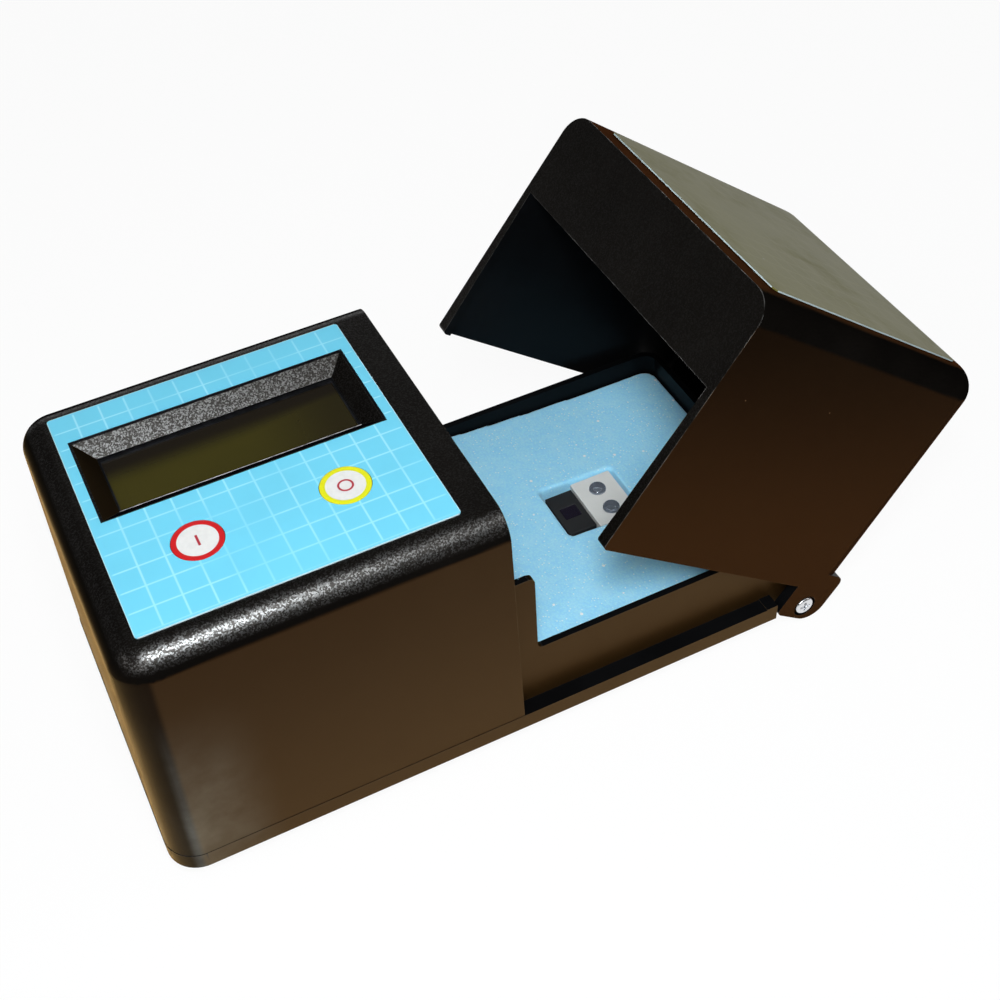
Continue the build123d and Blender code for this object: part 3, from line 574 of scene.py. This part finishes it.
labelFilm = {
    "ior": 1.46, "pitch": 0.00665, "lineWidth": 0.00046, "faint": (0.35, 0.6, 0.35, 0.85),
    "gridEnd": (0.0002, 0.0012), "vary": 0.96, "dust": {"Amount": 0.006, "Size": 0.08, "Scale": 170.0},
    "dustShow": 0.5, "speck": (0.3, 0.32, 0.33), "rough": 0.3, "hazeRough": 0.08,
    "peelDepth": 0.00003, "peelBump": 0.25,
}
frontLabel = {
    "ground": (0.165, 0.61, 0.81), "line": (0.36, 0.75, 0.90), "cut": (0.55, 0.72, 0.78), "rim": 0.00014,
    "gloss": 0.4, "gridAt": (-0.10321, 0.03388, 0), "gridTurn": (0, 0, 0),
    "window": ((-0.106824, -0.033324), (-0.0015, 0.0292)), "windowRim": 0.0003,
    "windowPaintedShade": (0.004, 0.004, 0.008),
}
lidLabel = {
    "ground": (0.14, 0.13, 0.035), "line": (0.17, 0.16, 0.06), "cut": (0.44, 0.52, 0.52), "rim": 0.0001,
    "gloss": 0.03, "gridAt": tuple(hinge), "gridTurn": (0, lidPlastic["turn"], 0),
}


# how far a label reaches along its own print
def printReach(nodeName, move, turn):
    back = Euler(turn).to_matrix().transposed()
    spots = [back @ (corner.co - Vector(move)) for corner in nodes[nodeName].data.vertices]
    return [(axis, min(s[axis] for s in spots), max(s[axis] for s in spots)) for axis in (0, 1)]


def makeLabelMaterial(name, nodeName, spec):
    film, move, turn = labelFilm, spec["gridAt"], spec["gridTurn"]
    material, tree, shader = newMaterial(name, IOR=film["ior"], Specular_IOR_Level=spec["gloss"])
    spot = here(tree, move, turn)
    grid = useGroup(tree, printedGrid, Vector=spot, Pitch=film["pitch"], Line=film["lineWidth"])
    ink = put(tree, "TexNoise", Vector=spot, Scale=55.0, Detail=5.0, Roughness=0.6)
    pale = fade(tree, ink.outputs[0], *spread)
    colour = paint(tree, pale, spec["ground"], scaled(spec["ground"], film["vary"]))
    faint = put(tree, "TexNoise", Vector=spot, Scale=38.0, Detail=2.0)
    lines = calc(tree, "MULTIPLY", grid["Line"], fade(tree, faint.outputs[0], *film["faint"]))
    # the squares fade at the cut edge, where the white film shows
    axes = put(tree, "SeparateXYZ", Vector=spot).outputs
    cut = 0.0
    for axis, lo, hi in printReach(nodeName, move, turn):
        half = (hi - lo) / 2
        off = calc(tree, "ABSOLUTE", calc(tree, "SUBTRACT", axes[axis], (lo + hi) / 2))
        cut = calc(tree, "MAXIMUM", cut, calc(tree, "GREATER_THAN", off, half - spec["rim"]))
        lines = calc(tree, "MULTIPLY", lines, fade(tree, off, *(half - end for end in film["gridEnd"])))
    colour = paint(tree, lines, colour, spec["line"])
    colour = paint(tree, cut, colour, spec["cut"])
    # a narrow dark border around the window is painted shade of the gap between label and bevel
    if "window" in spec:
        border = 1.0
        for axis, (lo, hi) in enumerate(spec["window"]):
            off = calc(tree, "ABSOLUTE", calc(tree, "SUBTRACT", axes[axis], (lo + hi) / 2 - move[axis]))
            within = calc(tree, "LESS_THAN", off, (hi - lo) / 2 + spec["windowRim"])
            border = calc(tree, "MULTIPLY", border, within)
        colour = paint(tree, border, colour, spec["windowPaintedShade"])
    specks = useGroup(tree, dust, **film["dust"])
    colour = paint(tree, calc(tree, "MULTIPLY", specks["Speck"], film["dustShow"]), colour, film["speck"])
    tree.links.new(colour, shader.inputs["Base Color"])
    rough = calc(tree, "MULTIPLY_ADD", specks["Haze"], film["hazeRough"], film["rough"])
    tree.links.new(rough, shader.inputs["Roughness"])
    peel = put(tree, "TexNoise", Vector=spot, Scale=900.0, Detail=2.0)
    bumpInto(tree, shader, peel.outputs[0], film["peelDepth"], film["peelBump"])
    return material


def dress(nodeName, material):
    slots = nodes[nodeName].data.materials
    slots.clear()
    slots.append(material)


dress("front_label", makeLabelMaterial("front_print", "front_label", frontLabel))
dress("lid_label", makeLabelMaterial("lid_print", "lid_label", lidLabel))


# one pressing area: a thin disc with a raised rim and a printed ring and mark
keyDisc = {
    "radius": 0.0064, "height": 0.00035, "sides": 128, "rimInset": 0.0011, "rimSlope": 0.0002,
    "rimFall": 0.00006, "edge": 0.00006, "angle": 50, "level": 0.9, "ior": 1.46,
    "white": (0.75, 0.735, 0.715), "vary": 0.95, "ink": (0.35, 0.65), "rough": (0.2, 0.8, 0.3, 0.42),
    "mark": (0.42, 0.02, 0.035), "ringInner": 0.00502, "soft": 0.00006, "depth": 0.00003, "bump": 0.2,
    "onRing": (0.56, 0.012, 0.014), "offRing": (0.72, 0.70, 0.01),
    "barWidth": 0.00031, "barHeight": 0.0018, "oOuter": 0.00205, "oInner": 0.00152,
}


def makeKeyMaterial(name, centre, ringColour, isBar):
    material, tree, shader = newMaterial(name, IOR=keyDisc["ior"])
    spot = here(tree, (centre.x, centre.y, 0))
    axes = put(tree, "SeparateXYZ", Vector=spot).outputs
    flat = put(tree, "CombineXYZ", X=axes[0], Y=axes[1])
    away = put(tree, "VectorMath", {"operation": "LENGTH"}, Vector=flat.outputs[0]).outputs["Value"]

    def upTo(value, limit):
        return fade(tree, value, limit + keyDisc["soft"], limit - keyDisc["soft"])

    def beyond(value, limit):
        return fade(tree, value, limit - keyDisc["soft"], limit + keyDisc["soft"])

    if isBar:
        sideways = calc(tree, "ABSOLUTE", axes[0])
        along = calc(tree, "ABSOLUTE", axes[1])
        mark = calc(tree, "MULTIPLY", upTo(sideways, keyDisc["barWidth"]), upTo(along, keyDisc["barHeight"]))
    else:
        mark = calc(tree, "MULTIPLY", upTo(away, keyDisc["oOuter"]), beyond(away, keyDisc["oInner"]))
    ring = beyond(away, keyDisc["ringInner"])
    ink = put(tree, "TexNoise", Vector=spot, Scale=700.0, Detail=3.0)
    white = paint(tree, fade(tree, ink.outputs[0], *keyDisc["ink"]), keyDisc["white"],
                  scaled(keyDisc["white"], keyDisc["vary"]))
    colour = paint(tree, ring, paint(tree, mark, white, keyDisc["mark"]), ringColour)
    tree.links.new(colour, shader.inputs["Base Color"])
    tree.links.new(fade(tree, ink.outputs[0], *keyDisc["rough"]), shader.inputs["Roughness"])
    bumpInto(tree, shader, ink.outputs[0], keyDisc["depth"], keyDisc["bump"])
    return material


def makeKey(side, ringColour):
    low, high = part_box(side + "_key")
    centre = (low + high) / 2
    bpy.ops.object.select_all(action="DESELECT")
    bpy.ops.mesh.primitive_cylinder_add(vertices=keyDisc["sides"], radius=keyDisc["radius"],
                                        depth=keyDisc["height"], location=centre)
    key = bpy.context.object
    key.name = side + "_pressing_area"
    bpy.ops.object.transform_apply(location=True, rotation=True, scale=True)
    selectFaces(key, lambda face: face.normal.z > keyDisc["level"])
    bpy.ops.mesh.inset(thickness=keyDisc["rimInset"])
    bpy.ops.mesh.inset(thickness=keyDisc["rimSlope"])
    bpy.ops.transform.translate(value=(0, 0, -keyDisc["rimFall"]))
    bpy.ops.object.mode_set(mode="OBJECT")
    easeEdges(key, keyDisc["edge"], keyDisc["angle"])
    shadeSmooth(key)
    key.data.materials.append(makeKeyMaterial(side + "_print", centre, ringColour, side == "on"))
    standFor(key, side + "_key")


makeKey("on", keyDisc["onRing"])
makeKey("off", keyDisc["offRing"])
print("labels and keys dressed")


# display

display = {
    "olive": (0.046, 0.038, 0.0065), "vary": 0.86, "cell": (0.042, 0.034, 0.006), "cellShow": 0.35,
    "cellPitch": 0.00352, "cellGap": (0.00032, 0.00022), "rowPitch": 0.0059, "rowGap": (0.0004, 0.0003),
    "shade": (0.006, 0.0035, 0.0045), "frameLap": 0.0045, "farReach": 0.0075, "farShade": 0.85,
    "endReach": 0.03, "endShade": 0.6, "dust": {"Amount": 0.03, "Size": 0.07, "Scale": 240.0},
    "dustShow": 0.5, "speck": (0.25, 0.24, 0.2), "rough": (0.1, 0.2), "depth": 0.00005, "bump": 0.1,
}
glassLow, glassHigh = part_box("lcd_glass")
glassMiddle = (glassLow + glassHigh) / 2
material, tree, shader = newMaterial("display_film", IOR=1.5)
spot = here(tree, tuple(glassMiddle))
axes = put(tree, "SeparateXYZ", Vector=spot).outputs
acrossX = calc(tree, "PINGPONG", axes[0], display["cellPitch"] / 2)
acrossY = calc(tree, "PINGPONG", axes[1], display["rowPitch"] / 2)
gaps = calc(tree, "MAXIMUM", fade(tree, acrossX, *display["cellGap"]),
            fade(tree, acrossY, *display["rowGap"]))
film = put(tree, "TexNoise", Vector=spot, Scale=28.0, Detail=3.0)
olive = paint(tree, fade(tree, film.outputs[0], *spread), display["olive"],
              scaled(display["olive"], display["vary"]))
olive = paint(tree, calc(tree, "MULTIPLY", gaps, display["cellShow"]), olive, display["cell"])
# painted shade: the bezel's shadow darkens the display towards the far edge and the right end
viewFar = glassHigh.y - glassMiddle.y - display["frameLap"]
viewEnd = glassHigh.x - glassMiddle.x - display["frameLap"]
farShade = fade(tree, axes[1], viewFar - display["farReach"], viewFar, 0.0, display["farShade"])
endShade = fade(tree, axes[0], viewEnd - display["endReach"], viewEnd, 0.0, display["endShade"])
olive = paint(tree, calc(tree, "MAXIMUM", farShade, endShade), olive, display["shade"])
specks = useGroup(tree, dust, **display["dust"])
olive = paint(tree, calc(tree, "MULTIPLY", specks["Speck"], display["dustShow"]), olive, display["speck"])
tree.links.new(olive, shader.inputs["Base Color"])
tree.links.new(fade(tree, specks["Haze"], 0.0, 1.0, *display["rough"]), shader.inputs["Roughness"])
bumpInto(tree, shader, film.outputs[0], display["depth"], display["bump"])
dress("lcd_glass", material)

bezel = {
    "black": (0.004, 0.004, 0.0045), "vary": 1.7, "worn": (0.03, 0.03, 0.04), "wear": 0.6,
    "wearRadius": 0.0004, "rough": (0.2, 0.8, 0.32, 0.46), "depth": 0.00004, "bump": 0.3,
}
material, tree, shader = newMaterial("display_bezel", IOR=1.5, Specular_IOR_Level=0.15)
brushed = put(tree, "TexNoise", Vector=here(tree), Scale=420.0, Detail=4.0)
wear = useGroup(tree, edgeWear, Radius=bezel["wearRadius"], Amount=bezel["wear"])
colour = paint(tree, fade(tree, brushed.outputs[0], *spread), bezel["black"],
               scaled(bezel["black"], bezel["vary"]))
colour = paint(tree, wear["Wear"], colour, bezel["worn"])
tree.links.new(colour, shader.inputs["Base Color"])
tree.links.new(fade(tree, brushed.outputs[0], *bezel["rough"]), shader.inputs["Roughness"])
bumpInto(tree, shader, brushed.outputs[0], bezel["depth"], bezel["bump"])
dress("lcd_frame", material)
print("display dressed")


# foam pad

foamPad = {
    "voxel": 0.0007, "relax": 0.5, "soft": 3, "lump": 0.00012, "lumpSize": 0.001, "lumpDetail": 2,
    "blue": (0.37, 0.79, 1.0), "deep": (0.32, 0.72, 1.0), "pale": (0.49, 0.85, 1.0), "glint": (1.0, 1.0, 1.0),
    "cells": 1500.0, "pore": (0.15, 0.75), "paleShow": (0.35, 0.75, 0.0, 0.45), "glints": 360.0,
    "fineGlint": 0.7, "rough": (0.82, 0.25), "clouds": 0.5, "depth": 0.0002, "bump": 0.3, "fill": 0.9,
}
foam = dressedCopy("foam_pad", "foam_nest", hard=False)
remesh = foam.modifiers.new("cells", "REMESH")
remesh.mode = "VOXEL"
remesh.voxel_size = foamPad["voxel"]
relax = foam.modifiers.new("relax", "SMOOTH")
relax.factor = foamPad["relax"]
relax.iterations = foamPad["soft"]
lumps = bpy.data.textures.new("foam_lumps", "CLOUDS")
lumps.noise_scale = foamPad["lumpSize"]
lumps.noise_depth = foamPad["lumpDetail"]
rise = foam.modifiers.new("lumps", "DISPLACE")
rise.texture = lumps
rise.texture_coords = "LOCAL"
rise.strength = foamPad["lump"]
rise.mid_level = 0.5
applyAll(foam)
bpy.ops.object.shade_smooth()

material, tree, shader = newMaterial("open_cell_foam", IOR=1.4, Sheen_Weight=0.45, Sheen_Roughness=0.5,
                                     Sheen_Tint=(0.75, 0.9, 1.0, 1))
spot = here(tree)
cell = put(tree, "TexVoronoi", Vector=spot, Scale=foamPad["cells"], Randomness=1.0)
shade = put(tree, "TexNoise", Vector=spot, Scale=240.0, Detail=5.0, Roughness=0.65)
pore = fade(tree, cell.outputs["Distance"], *foamPad["pore"])
colour = paint(tree, pore, foamPad["blue"], foamPad["deep"])
colour = paint(tree, fade(tree, shade.outputs[0], *foamPad["paleShow"]), colour, foamPad["pale"])
# painted glints: white base colour on sparse cells stands in for the foam's sparkling highlights
glint = useGroup(tree, dust, Amount=0.09, Size=0.16, Scale=foamPad["glints"])
small = useGroup(tree, dust, Amount=0.14, Size=0.3, Scale=foamPad["cells"])
shine = calc(tree, "MAXIMUM", glint["Speck"], calc(tree, "MULTIPLY", small["Speck"], foamPad["fineGlint"]))
colour = paint(tree, shine, colour, foamPad["glint"])
tree.links.new(colour, shader.inputs["Base Color"])
tree.links.new(fade(tree, shine, 0.0, 1.0, *foamPad["rough"]), shader.inputs["Roughness"])
height = calc(tree, "MULTIPLY_ADD", shade.outputs[0], foamPad["clouds"], cell.outputs["Distance"])
bumpInto(tree, shader, height, foamPad["depth"], foamPad["bump"])
foam.data.materials.append(material)
standFor(foam, "foam_pad")
print("foam:", len(foam.data.polygons), "faces")


# sensor in the foam's opening

plastic = {
    "pits": 0.4, "vary": 0.85, "wornGain": 1.5, "wornLift": 0.03, "wear": 0.35, "wearRadius": 0.0004,
    "dust": {"Amount": 0.01, "Size": 0.1, "Scale": 300.0}, "dustShow": 0.3, "speck": (0.4, 0.38, 0.35),
    "hazeRough": 0.1, "bump": 0.4,
}
metal = {
    "smear": (0.35, 0.7), "vary": 0.8, "fine": (0.25, 0.75), "smoother": 0.07, "rougher": 0.1,
    "depth": 0.00002, "bump": 0.3,
}
clear = {"vary": 0.9, "rough": (0.2, 0.8, 0.06, 0.11)}


def makePlastic(name, colour, roughness, grain=1400.0, depth=0.00006):
    material, tree, shader = newMaterial(name)
    skin = useGroup(tree, mouldGrain, Scale=grain, Pits=plastic["pits"])
    specks = useGroup(tree, dust, **plastic["dust"])
    wear = useGroup(tree, edgeWear, Radius=plastic["wearRadius"], Amount=plastic["wear"])
    worn = [min(1, c * plastic["wornGain"] + plastic["wornLift"]) for c in colour]
    tone = paint(tree, skin["Tone"], colour, scaled(colour, plastic["vary"]))
    tone = paint(tree, wear["Wear"], tone, worn)
    tone = paint(tree, calc(tree, "MULTIPLY", specks["Speck"], plastic["dustShow"]), tone, plastic["speck"])
    tree.links.new(tone, shader.inputs["Base Color"])
    rough = calc(tree, "MULTIPLY_ADD", specks["Haze"], plastic["hazeRough"], roughness)
    tree.links.new(rough, shader.inputs["Roughness"])
    bumpInto(tree, shader, skin["Height"], depth, plastic["bump"])
    return material


def makeMetal(name, colour, roughness):
    material, tree, shader = newMaterial(name, Metallic=1.0)
    fine = put(tree, "TexNoise", Vector=here(tree), Scale=900.0, Detail=4.0)
    smear = put(tree, "TexNoise", Vector=here(tree), Scale=120.0, Detail=3.0)
    tone = paint(tree, fade(tree, smear.outputs[0], *metal["smear"]), colour, scaled(colour, metal["vary"]))
    tree.links.new(tone, shader.inputs["Base Color"])
    ends = (roughness - metal["smoother"], roughness + metal["rougher"])
    tree.links.new(fade(tree, fine.outputs[0], *metal["fine"], *ends), shader.inputs["Roughness"])
    bumpInto(tree, shader, fine.outputs[0], metal["depth"], metal["bump"])
    return material


def makeClear(name, colour):
    material, tree, shader = newMaterial(name, Transmission_Weight=0.85, IOR=1.53)
    swirl = put(tree, "TexNoise", Vector=here(tree), Scale=260.0, Detail=3.0)
    tone = paint(tree, fade(tree, swirl.outputs[0], *spread), colour, scaled(colour, clear["vary"]))
    tree.links.new(tone, shader.inputs["Base Color"])
    tree.links.new(fade(tree, swirl.outputs[0], *clear["rough"]), shader.inputs["Roughness"])
    return material


def dressHard(nodeName, pieceName, material, edge=None, angle=easing["angle"]):
    piece = dressedCopy(nodeName, pieceName)
    if edge:
        easeEdges(piece, edge, angle)
    shadeSmooth(piece)
    piece.data.materials.append(material)
    standFor(piece, nodeName)


sensorPieces = {"blockEdge": 0.00035, "cradleEdge": 0.0003, "angle": 50}
sensorWhite = makePlastic("sensor_white", (0.80, 0.79, 0.76), 0.4)
sensorBlack = makePlastic("sensor_black", (0.02, 0.02, 0.021), 0.5)
lampClear = makeClear("lamp_clear", (0.72, 0.80, 0.95))
cellDark = makeClear("cell_dark", (0.10, 0.08, 0.14))
dressHard("emitter_block", "emitter_housing", sensorWhite,
          sensorPieces["blockEdge"], sensorPieces["angle"])
dressHard("sensor_cradle", "detector_cradle", sensorBlack,
          sensorPieces["cradleEdge"], sensorPieces["angle"])
dressHard("ir_emitters", "emitter_lamps", lampClear)
dress("photodiode", cellDark)
print("sensor dressed")


# hinge hardware, screws, feet and battery door

hardware = {"headEdge": 0.00012, "headAngle": 45, "doorEdge": 0.0002}
steel = makeMetal("screw_zinc", (0.72, 0.73, 0.75), 0.24)
brass = makeMetal("bush_brass", (0.72, 0.52, 0.22), 0.28)
tinned = makeMetal("tinned_can", (0.66, 0.67, 0.69), 0.32)
nylon = makePlastic("washer_nylon", (0.74, 0.72, 0.66), 0.42)
rubber = makePlastic("foot_rubber", (0.018, 0.018, 0.019), 0.7, 800.0, 0.0001)
dressHard("hinge_screws", "hinge_bolts", steel, hardware["headEdge"], hardware["headAngle"])
dressHard("rubber_feet", "soft_feet", rubber)
for nodeName in ("case_screws", "key_board_screws", "lcd_screws", "main_board_screws", "sensor_screws"):
    dress(nodeName, steel)
dress("hinge_bushes", brass)
dress("hinge_washers", nylon)
dressHard("battery_door", "battery_cover", caseSkin, hardware["doorEdge"])
print("hardware dressed")


# boards and wiring inside the head

boardPaint = {
    "light": (0.012, 0.16, 0.045, 1), "dark": (0.010, 0.13, 0.038, 1), "track": (0.02, 0.24, 0.075, 1),
    "solder": (0.6, 0.6, 0.58), "padSize": 0.2, "padMetal": 0.9, "depth": 0.00004, "bump": 0.4,
}
ribbonWires = {
    "groove": (0.20, 0.20, 0.21), "wire": (0.46, 0.47, 0.49), "half": 0.000635, "edge": (0.00012, 0.0003),
    "depth": 0.00015, "bump": 0.8,
}


def makeBoard(name):
    material, tree, shader = newMaterial(name, Roughness=0.35, IOR=1.52)
    spot = here(tree)
    track = put(tree, "TexBrick", Vector=spot, Scale=160.0, Mortar_Size=0.03, Color1=boardPaint["light"],
                Color2=boardPaint["dark"], Mortar=boardPaint["track"])
    pad = put(tree, "TexVoronoi", Vector=spot, Scale=210.0, Randomness=0.35)
    solder = calc(tree, "LESS_THAN", pad.outputs["Distance"], boardPaint["padSize"])
    colour = paint(tree, solder, track.outputs["Color"], boardPaint["solder"])
    tree.links.new(colour, shader.inputs["Base Color"])
    tree.links.new(calc(tree, "MULTIPLY", solder, boardPaint["padMetal"]), shader.inputs["Metallic"])
    bumpInto(tree, shader, track.outputs["Fac"], boardPaint["depth"], boardPaint["bump"])
    return material


def makeRibbon(name, axis):
    material, tree, shader = newMaterial(name, Roughness=0.5)
    axes = put(tree, "SeparateXYZ", Vector=here(tree)).outputs
    stripe = fade(tree, calc(tree, "PINGPONG", axes[axis], ribbonWires["half"]), *ribbonWires["edge"])
    colour = paint(tree, stripe, ribbonWires["groove"], ribbonWires["wire"])
    tree.links.new(colour, shader.inputs["Base Color"])
    bumpInto(tree, shader, stripe, ribbonWires["depth"], ribbonWires["bump"])
    return material


board = makeBoard("board_green")
for nodeName in ("key_board", "lcd_board", "main_board", "sensor_board"):
    dress(nodeName, board)
chip = makePlastic("chip_black", (0.022, 0.022, 0.023), 0.55, 2200.0)
for nodeName in ("microcontroller", "on_switch", "off_switch", "lcd_header"):
    dress(nodeName, chip)
dress("board_parts", tinned)
dress("board_sockets", makePlastic("socket_cream", (0.72, 0.67, 0.54), 0.5))
for nodeName in ("on_plunger", "off_plunger", "battery_clip"):
    dress(nodeName, sensorBlack)
dress("lcd_backlight", makePlastic("diffuser", (0.5, 0.55, 0.2), 0.55))
dress("sensor_ribbon", makeRibbon("ribbon_sensor", 1))
dress("key_ribbon", makeRibbon("ribbon_keys", 0))
dress("display_ribbon", makeRibbon("ribbon_display", 0))

# battery: dark sleeve with a coppery end and bright terminals
batteryWrap = {
    "sleeve": (0.02, 0.02, 0.022), "band": (0.55, 0.24, 0.10), "bandFrom": 0.72, "bandMetal": 0.6,
    "terminal": (0.62, 0.63, 0.65), "terminalHeight": 0.0031,
    "scuffed": (0.4, 0.38, 0.36), "scuffShow": (0.6, 0.8, 0.0, 0.3),
}
batteryLow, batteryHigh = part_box("battery")
material, tree, shader = newMaterial("battery_wrap", Roughness=0.32)
axes = put(tree, "SeparateXYZ", Vector=here(tree)).outputs
edgeX = batteryLow.x + (batteryHigh.x - batteryLow.x) * batteryWrap["bandFrom"]
band = calc(tree, "GREATER_THAN", axes[0], edgeX)
pins = calc(tree, "GREATER_THAN", axes[0], batteryHigh.x - batteryWrap["terminalHeight"])
scuff = put(tree, "TexNoise", Vector=here(tree), Scale=320.0, Detail=5.0)
colour = paint(tree, band, batteryWrap["sleeve"], batteryWrap["band"])
colour = paint(tree, pins, colour, batteryWrap["terminal"])
colour = paint(tree, fade(tree, scuff.outputs[0], *batteryWrap["scuffShow"]), colour, batteryWrap["scuffed"])
tree.links.new(colour, shader.inputs["Base Color"])
bright = calc(tree, "MAXIMUM", calc(tree, "MULTIPLY", band, batteryWrap["bandMetal"]), pins)
tree.links.new(bright, shader.inputs["Metallic"])
dress("battery", material)

# one red and one black lead
leadSleeve = {
    "black": (0.015, 0.015, 0.016), "red": (0.42, 0.015, 0.012),
    "streaked": (0.2, 0.15, 0.14), "streakShow": (0.4, 0.8, 0.0, 0.2),
}
material, tree, shader = newMaterial("lead_sleeve", Roughness=0.45)
axes = put(tree, "SeparateXYZ", Vector=here(tree)).outputs
red = calc(tree, "LESS_THAN", axes[1], 0.0)
streak = put(tree, "TexNoise", Vector=here(tree), Scale=500.0, Detail=3.0)
colour = paint(tree, red, leadSleeve["black"], leadSleeve["red"])
colour = paint(tree, fade(tree, streak.outputs[0], *leadSleeve["streakShow"]), colour, leadSleeve["streaked"])
tree.links.new(colour, shader.inputs["Base Color"])
dress("battery_leads", material)
print("inside dressed")


# floor, light and camera

stage = {
    "radius": 3.2, "sides": 96, "drop": 0.0001, "rise": 0.5, "level": 0.9, "colour": (0.92, 0.915, 0.91),
    "vary": 0.99, "lift": 0.93, "liftNear": 0.9, "liftFar": 1.8, "farLift": 0.1,
}
bpy.ops.object.select_all(action="DESELECT")
bpy.ops.mesh.primitive_circle_add(vertices=stage["sides"], radius=stage["radius"], fill_type="NGON",
                                  location=(0, 0, -stage["drop"]))
floor = bpy.context.object
floor.name = "floor"
bpy.ops.object.transform_apply(location=True, rotation=True, scale=True)
bpy.ops.object.mode_set(mode="EDIT")
bpy.ops.mesh.select_all(action="SELECT")
bpy.ops.mesh.extrude_region_move(TRANSFORM_OT_translate={"value": (0, 0, stage["rise"])})
bpy.ops.object.mode_set(mode="OBJECT")
selectFaces(floor, lambda face: face.normal.z > stage["level"] and face.center.z > stage["rise"] / 2)
bpy.ops.mesh.delete(type="ONLY_FACE")
bpy.ops.mesh.select_all(action="SELECT")
bpy.ops.mesh.normals_make_consistent(inside=True)
bpy.ops.object.mode_set(mode="OBJECT")
material, tree, shader = newMaterial("paper_floor", Roughness=0.9, Specular_IOR_Level=0.1)
fibre = put(tree, "TexNoise", Vector=here(tree), Scale=6.0, Detail=3.0)
paper = paint(tree, fade(tree, fibre.outputs[0], *spread), stage["colour"],
              scaled(stage["colour"], stage["vary"]))
tree.links.new(paper, shader.inputs["Base Color"])
# seen straight, mirrored or through glass, the paper is lifted to white and keeps part of the shadow
rays = put(tree, "LightPath").outputs
mirrored = calc(tree, "MAXIMUM", rays["Is Glossy Ray"], rays["Is Transmission Ray"])
reach = put(tree, "VectorMath", {"operation": "LENGTH"}, Vector=here(tree)).outputs["Value"]
fall = fade(tree, reach, stage["liftNear"], stage["liftFar"], stage["lift"], stage["farLift"])
mirrored = calc(tree, "MULTIPLY", mirrored, fall)
seen = calc(tree, "MAXIMUM", calc(tree, "MULTIPLY", rays["Is Camera Ray"], stage["lift"]), mirrored)
white = put(tree, "Emission", Color=(1, 1, 1, 1), Strength=1.0)
lifted = mixShaders(tree, seen, shader.outputs[0], white.outputs[0])
tree.links.new(lifted, tree.nodes["Material Output"].inputs["Surface"])
floor.data.materials.append(material)

# weak room light, seen as white above the backdrop
roomLight = {"colour": (0.9, 0.95, 1.0, 1), "strength": 0.06}
world = bpy.data.worlds.new("studio")
bpy.context.scene.world = world
world.use_nodes = True
tree = world.node_tree
room = tree.nodes["Background"]
room.inputs["Color"].default_value = roomLight["colour"]
room.inputs["Strength"].default_value = roomLight["strength"]
white = put(tree, "Background", Color=(1, 1, 1, 1), Strength=1.0)
straight = put(tree, "LightPath").outputs["Is Camera Ray"]
lifted = mixShaders(tree, straight, room.outputs[0], white.outputs[0])
tree.links.new(lifted, tree.nodes["World Output"].inputs["Surface"])

studioLamps = {
    # name: (place, aim, width, height, watts, colour)
    "key": ((-0.10, -0.255, 0.41), (-0.02, 0, 0.05), 0.07, 0.15, 1.75, (0.90, 0.965, 1.0)),
    "front": ((-0.85, -1.0, 0.85), (0, 0, 0.04), 0.8, 0.6, 4.5, (1.0, 0.99, 0.98)),
    "panel": ((0.0, -0.85, 1.6), (0, 0, 0), 2.0, 0.8, 5.0, (1.0, 0.99, 0.98)),
    "left": ((-1.5, -0.1, 0.9), (0, 0, 0.04), 0.7, 0.9, 4.0, (1.0, 0.98, 0.95)),
    "right": ((1.5, -0.3, 1.0), (0, 0, 0.04), 0.7, 0.9, 4.0, (1.0, 0.98, 0.95)),
    "back": ((0.2, 1.9, 0.55), (0, 0, 0.04), 1.2, 0.4, 3.0, (0.97, 0.98, 1.0)),
}
for name, (place, aim, width, height, watts, colour) in studioLamps.items():
    light = bpy.data.lights.new(name, "AREA")
    light.shape = "RECTANGLE"
    light.size = width
    light.size_y = height
    light.energy = watts
    light.color = colour
    lamp = bpy.data.objects.new(name + "_light", light)
    bpy.context.scene.collection.objects.link(lamp)
    lamp.location = place
    lamp.rotation_euler = (Vector(aim) - Vector(place)).to_track_quat("-Z", "Y").to_euler()

photoView = {
    "place": (-0.117107, -0.26561, 0.340509),
    "right": (0.896843, -0.439702, -0.048319),
    "down": (-0.347128, -0.631871, -0.692995),
    "ahead": (0.27418, 0.63828, -0.719322),
    "lens": 53.586, "sensor": 36, "nearest": 0.01,
}
camera = bpy.data.objects.new("photo_camera", bpy.data.cameras.new("photo_camera"))
bpy.context.scene.collection.objects.link(camera)
camera.data.lens = photoView["lens"]
camera.data.sensor_width = photoView["sensor"]
camera.data.sensor_fit = "HORIZONTAL"
camera.data.clip_start = photoView["nearest"]
cameraAxes = (photoView["right"], scaled(photoView["down"], -1), scaled(photoView["ahead"], -1))
camera.matrix_world = Matrix.Translation(photoView["place"]) @ Matrix(cameraAxes).transposed().to_4x4()
bpy.context.scene.camera = camera
bpy.context.scene.view_settings.view_transform = "Standard"
print("stage set")
